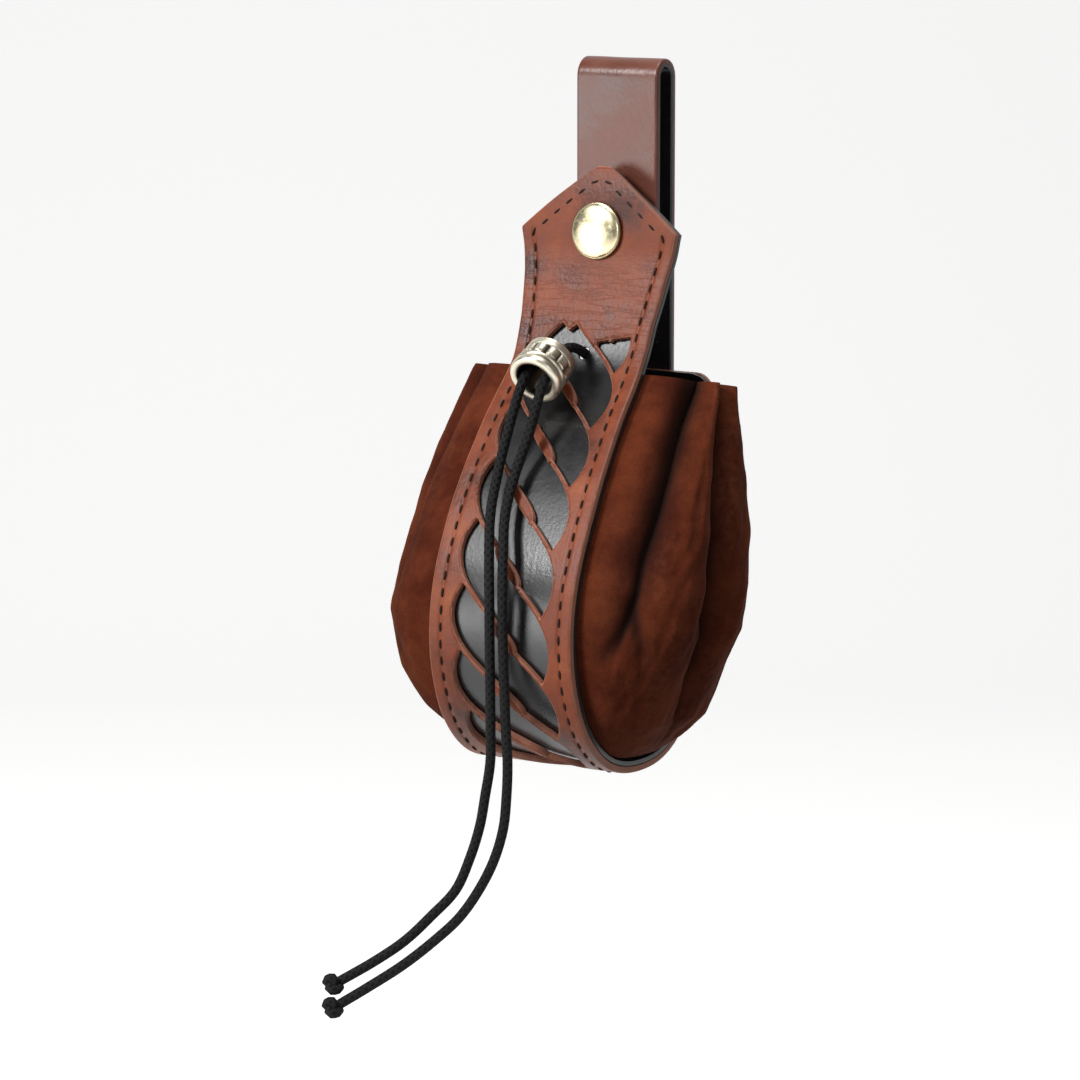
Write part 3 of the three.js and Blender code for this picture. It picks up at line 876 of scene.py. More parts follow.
@dataclass(frozen=True)
class Suede:
    """Brushed suede: nap, painted shade darkening the folds and a painted highlight lightening the crests.
    """

    name: str = "Suede"
    # deep is the darkest tone: used for the nap's low spots and as painted shade in the folds.
    deep: tuple = (0.006, 0.0016, 0.001, 1)
    middle: tuple = (0.062, 0.0095, 0.003, 1)
    light: tuple = (0.13, 0.027, 0.009, 1)
    crest: tuple = (0.24, 0.08, 0.039, 1)

    def build(self) -> bpy.types.Material:
        """Makes the material.

        Returns:
            The material.
        """
        surface = Surface(self.name, {
            "Roughness": 0.92, "Specular IOR Level": 0.1, "Sheen Weight": 0.04, "Sheen Roughness": 0.5,
            "Sheen Tint": (0.75, 0.45, 0.32, 1)})
        make = surface.make
        where = make.where()
        clouds = make.noise(where, 55.0, 6.0, 0.62)
        brushed = make.noise(where, 420.0, 4.0, 0.6)
        nap = make.noise(where, 3200.0, 2.0)
        colour = make.mix(make.span(clouds, 0.36, 0.66), self.middle, self.light)
        # Painted highlight: the crests of the folds and wrinkles are mixed towards a lighter colour.
        crest = make.math("MULTIPLY", make.value("crest"), make.span(brushed, 0.35, 0.7))
        colour = make.mix(crest, colour, self.crest)
        colour = make.mix(make.math("MULTIPLY", make.span(nap, 0.3, 0.5, 1.0, 0.0), 0.4), colour, self.deep)
        # Painted shade: darker where the folds push in and along their centre lines and the creases.
        colour = make.mix(make.value("fold"), colour, self.deep)
        height = make.math("ADD", make.math("MULTIPLY", nap, 0.6), make.math("MULTIPLY", brushed, 1.2))
        return surface.link(Base_Color=colour, Normal=surface.relief(height, 0.5, 0.0005))


@dataclass(frozen=True)
class Metal:
    """Worn metal with painted shade in its recesses and fine scratches."""

    name: str
    colour: tuple
    dark: tuple
    rough: float

    def build(self, effects: Effects) -> bpy.types.Material:
        """Makes the material.

        Args:
            effects: The shared shader groups.

        Returns:
            The material.
        """
        surface = Surface(self.name, {"Metallic": 1.0})
        make = surface.make
        where = make.where()
        stains = make.noise(where, 260.0, 5.0, 0.6)
        wide = make.add("ShaderNodeMapping", {"Vector": where, "Scale": (500.0, 2600.0, 900.0)}).outputs[0]
        scratch = make.group(effects.scratch, vector=wide).outputs[0]
        colour = make.mix(make.span(stains, 0.45, 0.75, 0.0, 0.35), self.colour, self.dark)
        # Painted shade in the hollows, from the stored recess mask.
        colour = make.mix(make.value("recess"), colour, self.dark)
        rough = make.math("ADD", make.span(stains, 0.3, 0.7, self.rough - 0.05, self.rough + 0.12),
                          make.math("MULTIPLY", scratch, 0.1))
        return surface.link(Base_Color=colour, Roughness=rough, Normal=surface.relief(stains, 0.15, 0.0002))


@dataclass(frozen=True)
class Braid:
    """Braided or twisted thread: crossing strands over the piece's own coordinates."""

    name: str
    colour: tuple
    light: tuple
    around: float
    along: float
    depth: float

    def build(self) -> bpy.types.Material:
        """Makes the material.

        Returns:
            The material.
        """
        surface = Surface(self.name, {"Roughness": 0.75, "Specular IOR Level": 0.18})
        make = surface.make
        flat = make.add("ShaderNodeSeparateXYZ", {0: make.add("ShaderNodeTexCoord").outputs["UV"]})
        turn = make.math("MULTIPLY", flat.outputs[0], self.around * 2 * math.pi)
        run = make.math("MULTIPLY", flat.outputs[1], self.along * 2 * math.pi)
        one = make.math("SINE", make.math("ADD", turn, run))
        two = make.math("SINE", make.math("SUBTRACT", turn, run))
        strands = make.math("MAXIMUM", one, two)
        fibre = make.noise(make.where(), 3000.0, 2.0)
        height = make.math("ADD", strands, make.math("MULTIPLY", fibre, 0.5))
        # Painted shade: lighter on the strands' raised middles, darker in the grooves between them.
        colour = make.mix(make.span(height, -0.2, 1.4), self.colour, self.light)
        return surface.link(Base_Color=colour, Normal=surface.relief(height, 0.6, self.depth))


# Leather band, lining and stitches


@dataclass
class Band:
    """The brown band with its plait, the black lining under it and the seams."""

    brown: bpy.types.Material
    black: bpy.types.Material
    thread: bpy.types.Material
    stitch_inset: float = 4.0
    stitch_pitch: float = 5.1
    stitch_mark: float = 2.9
    round_over: float = 0.55
    groove_depth: float = 0.28
    groove_width: float = 0.6
    wave_depth: float = 0.22
    stitch_thickness: float = 0.85
    stitch_lift: float = 0.12

    def sheet(self, name: str, columns: Array, rows: Array, outer: float, inner: float,
              holes: object, cell: float) -> Piece:
        """A bent sheet along the band with its openings cut through.

        Args:
            name: Name of the piece.
            columns: Places across, from -1 to 1 of the half-width.
            rows: Distances along the band.
            outer: Depth of its outer face.
            inner: Depth of its inner face.
            holes: Signed distance to the openings, for rows of x and distance.
            cell: Size of a grid cell.

        Returns:
            The piece.
        """
        half = BAND.half_width(rows)
        along = np.repeat(rows[:, None], len(columns), 1)
        flat = np.stack([half[:, None] * columns, along], -1).reshape(-1, 2)
        faces = grid_faces(len(rows), len(columns))
        kept = faces[holes(flat[faces].mean(1)) >= 0]
        rim = np.unique(rim_edges(kept))
        border = np.isin(rim % len(columns), (0, len(columns) - 1)) | (rim < len(columns))
        border |= rim >= len(flat) - len(columns)
        rim = rim[~border]
        step = 0.05
        for _ in range(3):
            here = flat[rim]
            value = holes(here)
            slope = np.stack([holes(here + (step, 0)) - holes(here - (step, 0)),
                              holes(here + (0, step)) - holes(here - (0, step))], 1) / (2 * step)
            size = np.maximum(0.3, (slope**2).sum(1))
            move = -value[:, None] * slope / size[:, None]
            long = np.maximum(1.0, np.hypot(*move.T) / (0.6 * cell))
            flat[rim] = here + move / long[:, None]
        used = np.unique(kept)
        number = np.full(len(flat), -1)
        number[used] = np.arange(len(used))
        flat, kept = flat[used], number[kept]
        to_hole = np.maximum(0, holes(flat))
        across = BAND.half_width(flat[:, 1]) - np.abs(flat[:, 0])
        ends = np.minimum(flat[:, 1], BAND.profile.length - flat[:, 1])
        edge = np.minimum(to_hole, np.maximum(0, np.minimum(across * 0.8, ends)))
        soft = np.clip(1 - edge / self.round_over, 0, 1)
        groove = self.groove_depth * np.exp(-(((across - self.stitch_inset) / self.groove_width) ** 2))
        groove *= flat[:, 1] > BAND.snap
        waves = self.wave_depth * (lattice(flat[:, 0] / 16, flat[:, 1] / 7, 11) - 0.5)
        if outer == 0:
            rounding = self.round_over * 0.8 * (1 - np.sqrt(1 - soft**2))
            depth = outer + rounding + groove + waves * (to_hole > 0.7)
        else:
            depth = np.full(len(flat), outer)
        points = np.concatenate([BAND.place(flat[:, 0], flat[:, 1], depth),
                                 BAND.place(flat[:, 0], flat[:, 1], inner)])
        neck = np.clip((flat[:, 1] - BAND.snap - 4) / 8, 0, 1)
        neck *= np.clip((PLAIT.top + 20 - flat[:, 1]) / 18, 0, 1)
        # Painted shade: a thin dark strip along the band's right edge, the side turned from the light.
        shade = np.clip(1 - across / 0.9, 0, 1) * (flat[:, 0] > 0) * 0.7
        values = {"edge": edge, "creased": 0.12 + 0.88 * neck, "shade": shade}
        twice = {label: np.tile(value, 2) for label, value in values.items()}
        return Piece(name, points, thickened(kept, len(flat)), np.tile(flat * CHART, (2, 1)), twice)

    def build_leather(self) -> None:
        """Makes the band and its lining."""
        rows = np.concatenate([
            np.linspace(0, PLAIT.top - 3, 76, endpoint=False),
            np.linspace(PLAIT.top - 3, PLAIT.top + PLAIT.length + 1, 400, endpoint=False),
            np.linspace(PLAIT.top + PLAIT.length + 1, BAND.profile.length - 6, 70, endpoint=False),
            BAND.profile.length - 6 * (1 - np.linspace(0, 1, 14) ** 0.5),
        ])
        middle = np.linspace(-0.975, 0.975, 118)
        columns = np.concatenate([[-1, -0.995, -0.987], middle, [0.987, 0.995, 1]])

        def openings(points: Array) -> Array:
            """Signed distance to the plait and the round holes."""
            return np.minimum(PLAIT.distance(points), punched(points))

        brown = self.sheet("Band_leather", columns, rows, 0.0, SIZE.band, openings, 0.42)
        brown.build(self.brown, Slot.LEATHER_BROWN, "band")
        plain = np.linspace(0, BAND.profile.length, 400)
        lining = self.sheet("Band_lining", np.linspace(-1, 1, 60), plain, SIZE.band + SIZE.seat, SIZE.skin,
                            punched, 0.85)
        lining.build(self.black, Slot.LEATHER_BLACK, "band_lining")

    def seam(self) -> Array:
        """The stitch line: up the left edge, round the head and down the right one.

        Returns:
            Rows of x and distance.
        """
        distance = np.linspace(0, BAND.profile.length - self.stitch_inset, 1400)
        half = BAND.half_width(distance)
        slope = np.gradient(half, distance)
        size = np.hypot(1, slope)
        x = half - self.stitch_inset / size
        d = distance + self.stitch_inset * slope / size
        right = np.stack([x, d], 1)[(x > 0) & (distance > 0.6)]
        outline = np.stack([half, distance], 1)
        clear = np.array([np.hypot(*(outline - spot).T).min() for spot in right]) > 0.96 * self.stitch_inset
        right = right[clear]
        left = right[::-1] * (-1, 1)
        return np.concatenate([left, right])

    def build_stitches(self) -> None:
        """Makes the stitches with geometry nodes along the seam."""
        line = self.seam()
        points = BAND.place(line[:, 0], line[:, 1], self.stitch_lift)
        outward = -BAND.inward(line[:, 1])
        mesh = bpy.data.meshes.new("Stitches")
        edges = [(i, i + 1) for i in range(len(points) - 1)]
        mesh.from_pydata((points * MM).tolist(), edges, [])
        attribute = mesh.attributes.new("outward", "FLOAT_VECTOR", "POINT")
        attribute.data.foreach_set("vector", outward.astype(np.float32).ravel())
        made = bpy.data.objects.new("Stitches", mesh)
        bpy.context.scene.collection.objects.link(made)
        modifier = made.modifiers.new("Stitches", "NODES")
        modifier.node_group = stitch_tree(self.thread)
        values = {"Pitch": self.stitch_pitch * MM, "Mark": self.stitch_mark * MM,
                  "Thickness": self.stitch_thickness * MM}
        for item in modifier.node_group.interface.items_tree:
            if item.name in values:
                modifier[item.identifier] = values[item.name]
        flatten(made)
        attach(made, ROOT)
        LOG.info("Stitches: %d faces", len(made.data.polygons))

    def build(self) -> None:
        """Makes everything that belongs to the band."""
        self.build_leather()
        self.build_stitches()


def flatten(made: bpy.types.Object) -> None:
    """Turns an object with live modifiers into a plain mesh.

    Args:
        made: The object.
    """
    graph = bpy.context.evaluated_depsgraph_get()
    plain = bpy.data.meshes.new_from_object(made.evaluated_get(graph), depsgraph=graph)
    made.modifiers.clear()
    made.data = plain


def stitch_tree(thread: bpy.types.Material) -> bpy.types.NodeTree:
    """Geometry nodes that set a rounded stitch at each step of a line.

    Args:
        thread: Finish of the stitches.

    Returns:
        The node tree.
    """
    tree = bpy.data.node_groups.new("Stitches along a seam", "GeometryNodeTree")
    face = tree.interface
    face.new_socket("Geometry", in_out="INPUT", socket_type="NodeSocketGeometry")
    for label in ("Pitch", "Mark", "Thickness"):
        face.new_socket(label, in_out="INPUT", socket_type="NodeSocketFloat")
    face.new_socket("Geometry", in_out="OUTPUT", socket_type="NodeSocketGeometry")
    make = NodeMaker(tree)
    given = make.add("NodeGroupInput")
    curve = make.add("GeometryNodeMeshToCurve", {0: given.outputs["Geometry"]})
    steps = {"Curve": curve.outputs[0], "Length": given.outputs["Pitch"]}
    spaced = make.add("GeometryNodeResampleCurve", steps, mode="LENGTH")
    outward = make.add("GeometryNodeInputNamedAttribute", {"Name": "outward"}, data_type="FLOAT_VECTOR")
    tangent = make.add("GeometryNodeInputTangent")
    turn = make.add("FunctionNodeAxesToRotation", {0: outward.outputs[0], 1: tangent.outputs[0]},
                    primary_axis="Z", secondary_axis="X")
    shape = make.add("GeometryNodeMeshUVSphere", {"Segments": 12, "Rings": 8, "Radius": 0.5})
    size = make.add("ShaderNodeCombineXYZ", {0: given.outputs["Mark"], 1: given.outputs["Thickness"],
                                             2: given.outputs["Thickness"]})
    placed = make.add("GeometryNodeInstanceOnPoints", {
        "Points": spaced.outputs[0], "Instance": shape.outputs[0], "Rotation": turn.outputs[0],
        "Scale": size.outputs[0]})
    real = make.add("GeometryNodeRealizeInstances", {0: placed.outputs[0]})
    smooth = make.add("GeometryNodeSetShadeSmooth", {0: real.outputs[0]})
    painted = make.add("GeometryNodeSetMaterial", {"Geometry": smooth.outputs[0], "Material": thread})
    make.add("NodeGroupOutput", {0: painted.outputs[0]})
    return tree


# Gathered suede sides


@dataclass(frozen=True)
class Fold:
    """A fold down a side: top and foot are places round it, the rest shares as in the part's source."""

    top: float
    foot: float
    depth: float
    width: float
    end: float
    keep: float


@dataclass(frozen=True)
class Crease:
    """A short crease between two places on a side: depth in millimetres, width a share of the way round."""

    start: tuple[float, float]
    stop: tuple[float, float]
    depth: float
    width: float


# Half-width of the body: share of the way down, left share, right share
WIDTH_ROWS = (
    (0.0, 0.79, 0.79), (0.064, 0.81, 0.83), (0.217, 0.86, 0.92), (0.354, 0.91, 0.98), (0.5, 0.96, 1.0),
    (0.62, 0.99, 0.965), (0.76, 0.93, 0.84), (0.87, 0.77, 0.74), (0.94, 0.6, 0.61), (1.0, 0.46, 0.46),
)

RIGHT_FOLDS = (
    Fold(0.2, 0.1, 0.12, 0.07, 0.72, 0.8),
    Fold(0.48, 0.45, 0.095, 0.055, 0.99, 0.75),
    Fold(0.79, 0.74, 0.075, 0.055, 0.95, 0.6),
)
LEFT_FOLDS = (
    Fold(0.24, 0.24, 0.09, 0.06, 0.97, 0.65),
    Fold(0.5, 0.5, 0.11, 0.07, 0.9, 0.6),
    Fold(0.78, 0.74, 0.075, 0.055, 0.95, 0.5),
)
RIGHT_CREASES = (
    Crease((0.12, 0.56), (0.04, 0.74), 1.6, 0.02),
    Crease((0.13, 0.54), (0.22, 0.72), 1.8, 0.022),
    Crease((0.34, 0.2), (0.3, 0.42), 0.9, 0.02),
    Crease((0.44, 0.5), (0.36, 0.7), 0.8, 0.02),
)
LEFT_CREASES = (
    Crease((0.2, 0.62), (0.1, 0.78), 1.2, 0.02),
    Crease((0.36, 0.3), (0.33, 0.6), 1.0, 0.022),
    Crease((0.1, 0.25), (0.14, 0.5), 0.8, 0.02),
)


@dataclass
class SuedeSide:
    """One gathered side: an arch between the band's two edges at each height, pushed in along its folds."""

    side: Side
    folds: tuple[Fold, ...]
    creases: tuple[Crease, ...]
    finish: bpy.types.Material
    around: int = 216
    rows: int = 140
    line_depth: float = 2.6
    line_width: float = 0.014
    wrinkle_depths: tuple[float, float, float] = (1.5, 0.7, 0.22)

    def fold_depth(self, along: Array, down: Array) -> Array:
        """How far the folds push the surface in.

        Args:
            along: Places round the side.
            down: Places from the mouth to the bottom.

        Returns:
            Depths in millimetres.
        """
        deepest = np.zeros(np.broadcast(along, down).shape)
        for fold in self.folds:
            share = np.minimum(1, down / fold.end)
            centre = fold.top + (fold.foot - fold.top) * share
            fade = (1 - share ** (1 / (1.2 - fold.keep))) * (1 - share * 0.25)
            off = np.abs(along - centre) / fold.width
            push = fold.depth * SIZE.body_width * np.maximum(0, fade) * np.exp(-(off**1.7))
            deepest = np.maximum(deepest, push)
        return deepest

    def fold_lines(self, along: Array, down: Array) -> Array:
        """A narrow dark valley down the middle of each fold.

        Args:
            along: Places round the side.
            down: Places from the mouth to the bottom.

        Returns:
            Depths in millimetres.
        """
        total = np.zeros(np.broadcast(along, down).shape)
        for fold in self.folds:
            share = np.minimum(1, down / fold.end)
            centre = fold.top + (fold.foot - fold.top) * share + 0.006 * np.sin(down * 23 + fold.top * 9)
            total += self.line_depth * (1 - share**3) * np.exp(-(((along - centre) / self.line_width) ** 2))
        return total

    def crease_depth(self, along: Array, down: Array) -> Array:
        """Extra depth of the short creases.

        Args:
            along: Places round the side.
            down: Places from the mouth to the bottom.

        Returns:
            Depths in millimetres.
        """
        total = np.zeros(np.broadcast(along, down).shape)
        for crease in self.creases:
            run = np.subtract(crease.stop, crease.start)
            share = ((along - crease.start[0]) * run[0] + (down - crease.start[1]) * run[1]) / (run @ run)
            held = np.clip(share, 0, 1)
            off_along = along - crease.start[0] - held * run[0]
            off_down = down - crease.start[1] - held * run[1]
            gap = np.hypot(off_along, off_down * 0.6)
            swell = np.sin(math.pi * np.clip(0.15 + 0.85 * held, 0, 1))
            total += crease.depth * swell * np.exp(-((gap / crease.width) ** 2))
        return total

    def wrinkles(self, along: Array, down: Array) -> Array:
        """Small soft unevenness.

        Args:
            along: Places round the side.
            down: Places from the mouth to the bottom.

        Returns:
            Depths in millimetres.
        """
        seed = 5 + self.side.value
        long = lattice(along * 16 + down * 2, down * 4, seed) - 0.5
        small = lattice(along * 30 + down * 9, down * 16, seed + 20) - 0.5
        fine = lattice(along * 60, down * 40, seed + 40) - 0.5
        hold = np.sin(math.pi * np.clip(along, 0, 1)) ** 0.5
        deep, middle, shallow = self.wrinkle_depths
        return hold * (deep * long + middle * small + shallow * fine)

    def place(self, along: Array, down: Array, inset: float, detail: bool = False) -> Array:
        """Points on the side.

        Args:
            along: Places round it, 0 at the front seam and 1 at the back seam.
            down: Places from the mouth to the bottom, 0 to 1.
            inset: Depth inside the outer face.
            detail: Whether creases and wrinkles are added.

        Returns:
            The points.
        """
        along, down = np.broadcast_arrays(np.asarray(along, float), np.asarray(down, float))
        spread = down * 0.985
        front_seam = BAND.front(SIZE.mouth_z - spread * SIZE.body_height)
        back_seam = BAND.back(SIZE.mouth_z - SIZE.rim_drop - spread * (SIZE.body_height - SIZE.rim_drop))
        depth = SIZE.skin + SIZE.seam_tuck + inset
        front = BAND.place(0, front_seam, depth)
        back = BAND.place(0, back_seam, depth)
        front_x = BAND.half_width(front_seam) - SIZE.seam_inset
        back_x = BAND.half_width(back_seam) - SIZE.seam_inset
        table = np.array(WIDTH_ROWS)
        share_out = np.interp(spread, table[:, 0], table[:, 1 if self.side is Side.LEFT else 2])
        out = np.maximum(share_out * SIZE.body_width / 2, back_x + 1)

        def arch(share: Array) -> Array:
            """The unfolded section.

            Args:
                share: Share of the way round.

            Returns:
                The points.
            """
            level = (1 - np.cos(math.pi * share)) / 2
            base = front_x + (back_x - front_x) * level
            point = front + (back - front) * level[..., None]
            swell = np.sin(math.pi * np.clip(share, 0, 1)) ** 0.62
            point[..., 0] = base + (out - inset - base) * swell
            return point

        point = arch(along)
        run = arch(np.minimum(1, along + 0.02)) - arch(np.maximum(0, along - 0.02))
        chord = back - front
        chord /= np.linalg.norm(chord, axis=-1, keepdims=True)
        inward = run[..., :1] * chord
        inward[..., 0] = -(run * chord).sum(-1)
        inward /= np.linalg.norm(inward, axis=-1, keepdims=True)
        hold = np.sqrt(np.maximum(0, np.sin(math.pi * along)))
        push = self.fold_depth(along, down) * hold
        if detail:
            extra = self.crease_depth(along, down) + self.fold_lines(along, down)
            push = push + (extra * hold + self.wrinkles(along, down)) * np.clip(
                (0.99 - down) / 0.05, 0, 1)
        point = point + inward * push[..., None]
        point[..., 0] *= self.side.value
        return point

    def build(self) -> None:
        """Makes the side, hollow and open at the mouth."""
        step = np.linspace(0, 1, self.around)
        along = 0.5 - np.cos(math.pi * (0.12 + 0.76 * step)) / (2 * math.cos(math.pi * 0.12))
        down = np.sin(np.linspace(0, 1, self.rows) * math.pi / 2) ** 0.95
        grid_along, grid_down = np.meshgrid(along, down)
        rim = np.clip(1 - grid_down / 0.012, 0, 1) * 0.5
        outer = self.place(grid_along, grid_down, 0.0, detail=True).reshape(-1, 3)
        inner = self.place(grid_along, grid_down, SIZE.suede, detail=True).reshape(-1, 3)
        outer[:, 2] -= rim.ravel()
        faces = grid_faces(self.rows, self.around, flip=self.side is Side.LEFT)
        pushed = self.fold_depth(grid_along, grid_down)
        bulge = np.gradient(np.gradient(pushed, axis=1), axis=1)
        # Painted highlight mask: high where the folds and wrinkles bulge out.
        crest = np.clip(-bulge * 9, 0, 1) * np.clip(1 - pushed / 4, 0, 1)
        wave = self.wrinkles(grid_along, grid_down)
        crest = np.clip(crest * 0.5 + np.clip(-wave * 0.35, 0, 0.5), 0, 1)
        # Painted shade mask from the folds' depth, their centre lines and the creases.
        lines = self.fold_lines(grid_along, grid_down) * 0.3
        lines += self.crease_depth(grid_along, grid_down) * 0.35
        fold = np.clip(np.clip(pushed / 9, 0, 1) ** 1.1 * 0.8 + lines, 0, 0.96)
        values = {"fold": np.tile(fold.ravel(), 2), "crest": np.tile(crest.ravel(), 2)}
        name = f"Suede_side_{self.side.name.lower()}"
        piece = Piece(name, np.concatenate([outer, inner]), thickened(faces, len(outer)), None, values)
        piece.build(self.finish, Slot.SUEDE, f"side_{self.side.name.lower()}")


# Strap, press stud and bead


@dataclass
class LoopStrap:
    """The loop strap: brown outside, black on the reverse."""

    finish: bpy.types.Material
    round_over: float = 0.7
    inner_round: float = 0.4

    def build(self) -> None:
        """Makes the strap with rounded edges and ends."""
        outer = SIZE.channel_gap / 2 + SIZE.strap
        top = SIZE.channel_height / 2 - SIZE.channel_gap / 2
        front_end = SIZE.snap_z - SIZE.front_leg_below_stud
        back_end = SIZE.mouth_z - SIZE.back_leg_below_mouth
        tip = SIZE.strap_tip
        ends = (np.linspace(0, 1, 12) ** 2) * tip
        front = np.concatenate([front_end + ends, np.linspace(front_end + tip, top, 40)[1:]])
        back = np.concatenate([back_end + ends, np.linspace(back_end + tip, top, 60)[1:]])[::-1]
        turn = np.linspace(0, math.pi, 40)[1:-1]
        y = np.concatenate([np.full(len(front), -outer), -outer * np.cos(turn), np.full(len(back), outer)])
        z = np.concatenate([front, top + outer * np.sin(turn), back])
        angle = np.concatenate([np.zeros(len(front)), turn, np.full(len(back), math.pi)])
        from_end = np.minimum(np.abs(z - front_end) + (y > 0) * FAR, np.abs(z - back_end) + (y < 0) * FAR)
        reach = np.clip(from_end / tip, 0, 1)
        half = SIZE.strap_width / 2 - SIZE.strap_rounding * (1 - np.sqrt(1 - (1 - reach) ** 2))
        across = np.linspace(-1, 1, 25)
        rounding = [(-self.round_over * (1 - math.sin(a)), self.round_over * (1 - math.cos(a)))
                    for a in np.linspace(0, math.pi / 2, 5)[1:]]
        section = [(share, -self.round_over, 0.0) for share in across]
        section += [(1.0, tuck, deep) for tuck, deep in rounding]
        section.append((1.0, 0.0, SIZE.strap - self.inner_round))
        section += [(share, -self.inner_round, SIZE.strap) for share in across[::-1]]
        section.append((-1.0, 0.0, SIZE.strap - self.inner_round))
        section += [(-1.0, tuck, deep) for tuck, deep in rounding[::-1]]
        share, tuck, depth = (np.array(v) for v in zip(*section))
        x = half[:, None] * share + np.sign(share) * tuck * (np.abs(share) > 0.999)
        in_y, in_z = np.cos(angle)[:, None], -np.sin(angle)[:, None]
        wave = 0.12 * (lattice(x / 9, np.cumsum(np.ones_like(x), 0) / 9, 31) - 0.5) * (depth == 0)
        points = np.stack([x, y[:, None] + in_y * (depth + wave), z[:, None] + in_z * (depth + wave)], -1)
        rows, count = x.shape
        faces = [*grid_faces(rows, count, wrap=True, flip=True).tolist(), list(range(count)),
                 [(rows - 1) * count + k for k in range(count)][::-1]]
        from_edge = np.minimum(half[:, None] - np.abs(x), from_end[:, None]) + depth * 0.4
        steps = np.cumsum(np.hypot(np.diff(y), np.diff(z)))
        run = np.repeat(np.concatenate([[0], steps])[:, None], count, 1)
        reverse = np.repeat((depth > 1.0)[None], rows, 0).ravel()
        values = {"edge": from_edge.ravel() + 0.6, "reverse": reverse}
        chart = np.stack([x, run], -1).reshape(-1, 2) * CHART
        piece = Piece("Loop_strap", points.reshape(-1, 3), faces, chart, values)
        piece.build(self.finish, Slot.LEATHER_STRAP, "loop_strap")


@dataclass
class PressStud:
    """The domed cap on the head and the stud behind it."""

    finish: bpy.types.Material

    def build(self) -> None:
        """Makes the cap as a turned dome; the hidden stud keeps its CAD shape."""
        lift = SIZE.seat
        rim = SIZE.cap_height * 0.35
        angle = np.linspace(0, math.pi / 2, 18)
        crown = SIZE.cap_height - rim
        dome = [(SIZE.cap_radius * 0.955 * math.cos(a), rim + lift + crown * math.sin(a)) for a in angle]
        dome[-1] = (0.02, dome[-1][1])
        radius, foot, sides = SIZE.cap_radius, -SIZE.skin - 0.5, 64
        rows = [(0.02, foot), (SIZE.post_radius, foot), (SIZE.post_radius, lift), (radius - 0.8, lift),
                (radius, lift + rim * 0.4), (radius, lift + rim * 0.8), (radius * 0.975, lift + rim * 0.95),
                *dome]
        points, faces = turned(rows, sides)
        # Painted shade under the cap's rim, where it meets the leather.
        recess = np.repeat([1.0 if r > radius * 0.97 and h < lift + rim else 0.0 for r, h in rows], sides)
        outward = -BAND.inward(np.array([BAND.snap]))[0]
        centre = BAND.place([0.0], [BAND.snap], [0.0])[0]
        placed = aimed(points, outward, centre)
        Piece("Snap_cap", placed, faces, None, {"recess": recess * 0.8}, 30.0).build(
            self.finish, Slot.BRASS, "snap_cap")
        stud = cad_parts["snap_stud"]
        stud.data.materials.clear()
        stud.data.materials.append(self.finish)


@dataclass
class Bead:
    """The metal bead: a plain collar, a fluted waist and a double rim round its open foot."""

    finish: bpy.types.Material
    flutes: int = 11

    @property
    def lift(self) -> float:
        """Height of its middle above the band."""
        return SIZE.bead_rim + SIZE.seat + 0.9

    @property
    def axis(self) -> Array:
        """Direction from its top to its foot.

        Returns:
            A unit direction.
        """
        turn = math.radians(SIZE.bead_tilt)
        place = np.array([BEAD_DISTANCE])
        return BAND.profile.along(place)[0] * math.cos(turn) - BAND.inward(place)[0] * math.sin(turn)

    def build(self) -> None:
        """Makes the bead."""
        half = SIZE.bead_length / 2
        rim, waist = SIZE.bead_rim, SIZE.bead_waist
        # Third column: painted shade in the hollows and the bore, 0 to 1.
        table = [
            (SIZE.bead_bore, -half, 0.6), (rim - 1.2, -half, 0.0), (rim - 0.55, -half + 0.3, 0.0),
            (rim - 0.5, -half + 0.8, 0.0), (rim - 0.5, -half + 2.6, 0.0), (rim - 0.75, -half + 3.0, 0.4),
            (waist, -half + 3.4, 1.0), (waist, half - 4.9, 1.0), (rim - 0.4, half - 4.4, 0.2),
            (rim - 0.1, half - 3.9, 0.0), (rim - 0.2, half - 3.3, 0.1), (rim - 0.9, half - 2.7, 0.9),
            (rim - 0.1, half - 2.2, 0.1), (rim, half - 1.4, 0.0), (rim - 0.1, half - 0.6, 0.0),
            (rim - 0.6, half, 0.0), (SIZE.bead_bore + 0.5, half, 0.2), (SIZE.bead_bore, half - 0.5, 0.9),
            (SIZE.bead_bore, -half, 1.0),
        ]
        smooth = Curve.through(np.array([(r, z, c) for r, z, c in table]), 5).points
        sides = 176
        points, faces = turned(smooth[:, :2], sides)
        angle = np.arctan2(points[:, 1], points[:, 0])
        radius = np.hypot(points[:, 0], points[:, 1])
        level = np.clip((half - 4.4 - points[:, 2]) / 0.5, 0, 1)
        level *= np.clip((points[:, 2] + half - 2.9) / 0.4, 0, 1)
        level *= radius > SIZE.bead_bore + 0.7
        ridge = np.abs(np.sin(angle * self.flutes / 2)) ** 0.6
        scale = 1 + level * (ridge * 0.95 - 0.05) / radius
        points[:, :2] *= scale[:, None]
        # Painted shade in the flutes' valleys, the grooves and the bore.
        recess = np.repeat(smooth[:, 2], sides) * (1 - level) + level * (1 - ridge) * 1.3
        recess = np.clip(recess, 0, 1) * 0.92
        placed = aimed(points, self.axis, BAND.place([SIZE.bead_shift], [BEAD_DISTANCE], [-self.lift])[0])
        Piece("Cord_bead", placed, faces, None, {"recess": recess}, 50.0).build(
            self.finish, Slot.PALE_METAL, "cord_bead")


# Drawstring


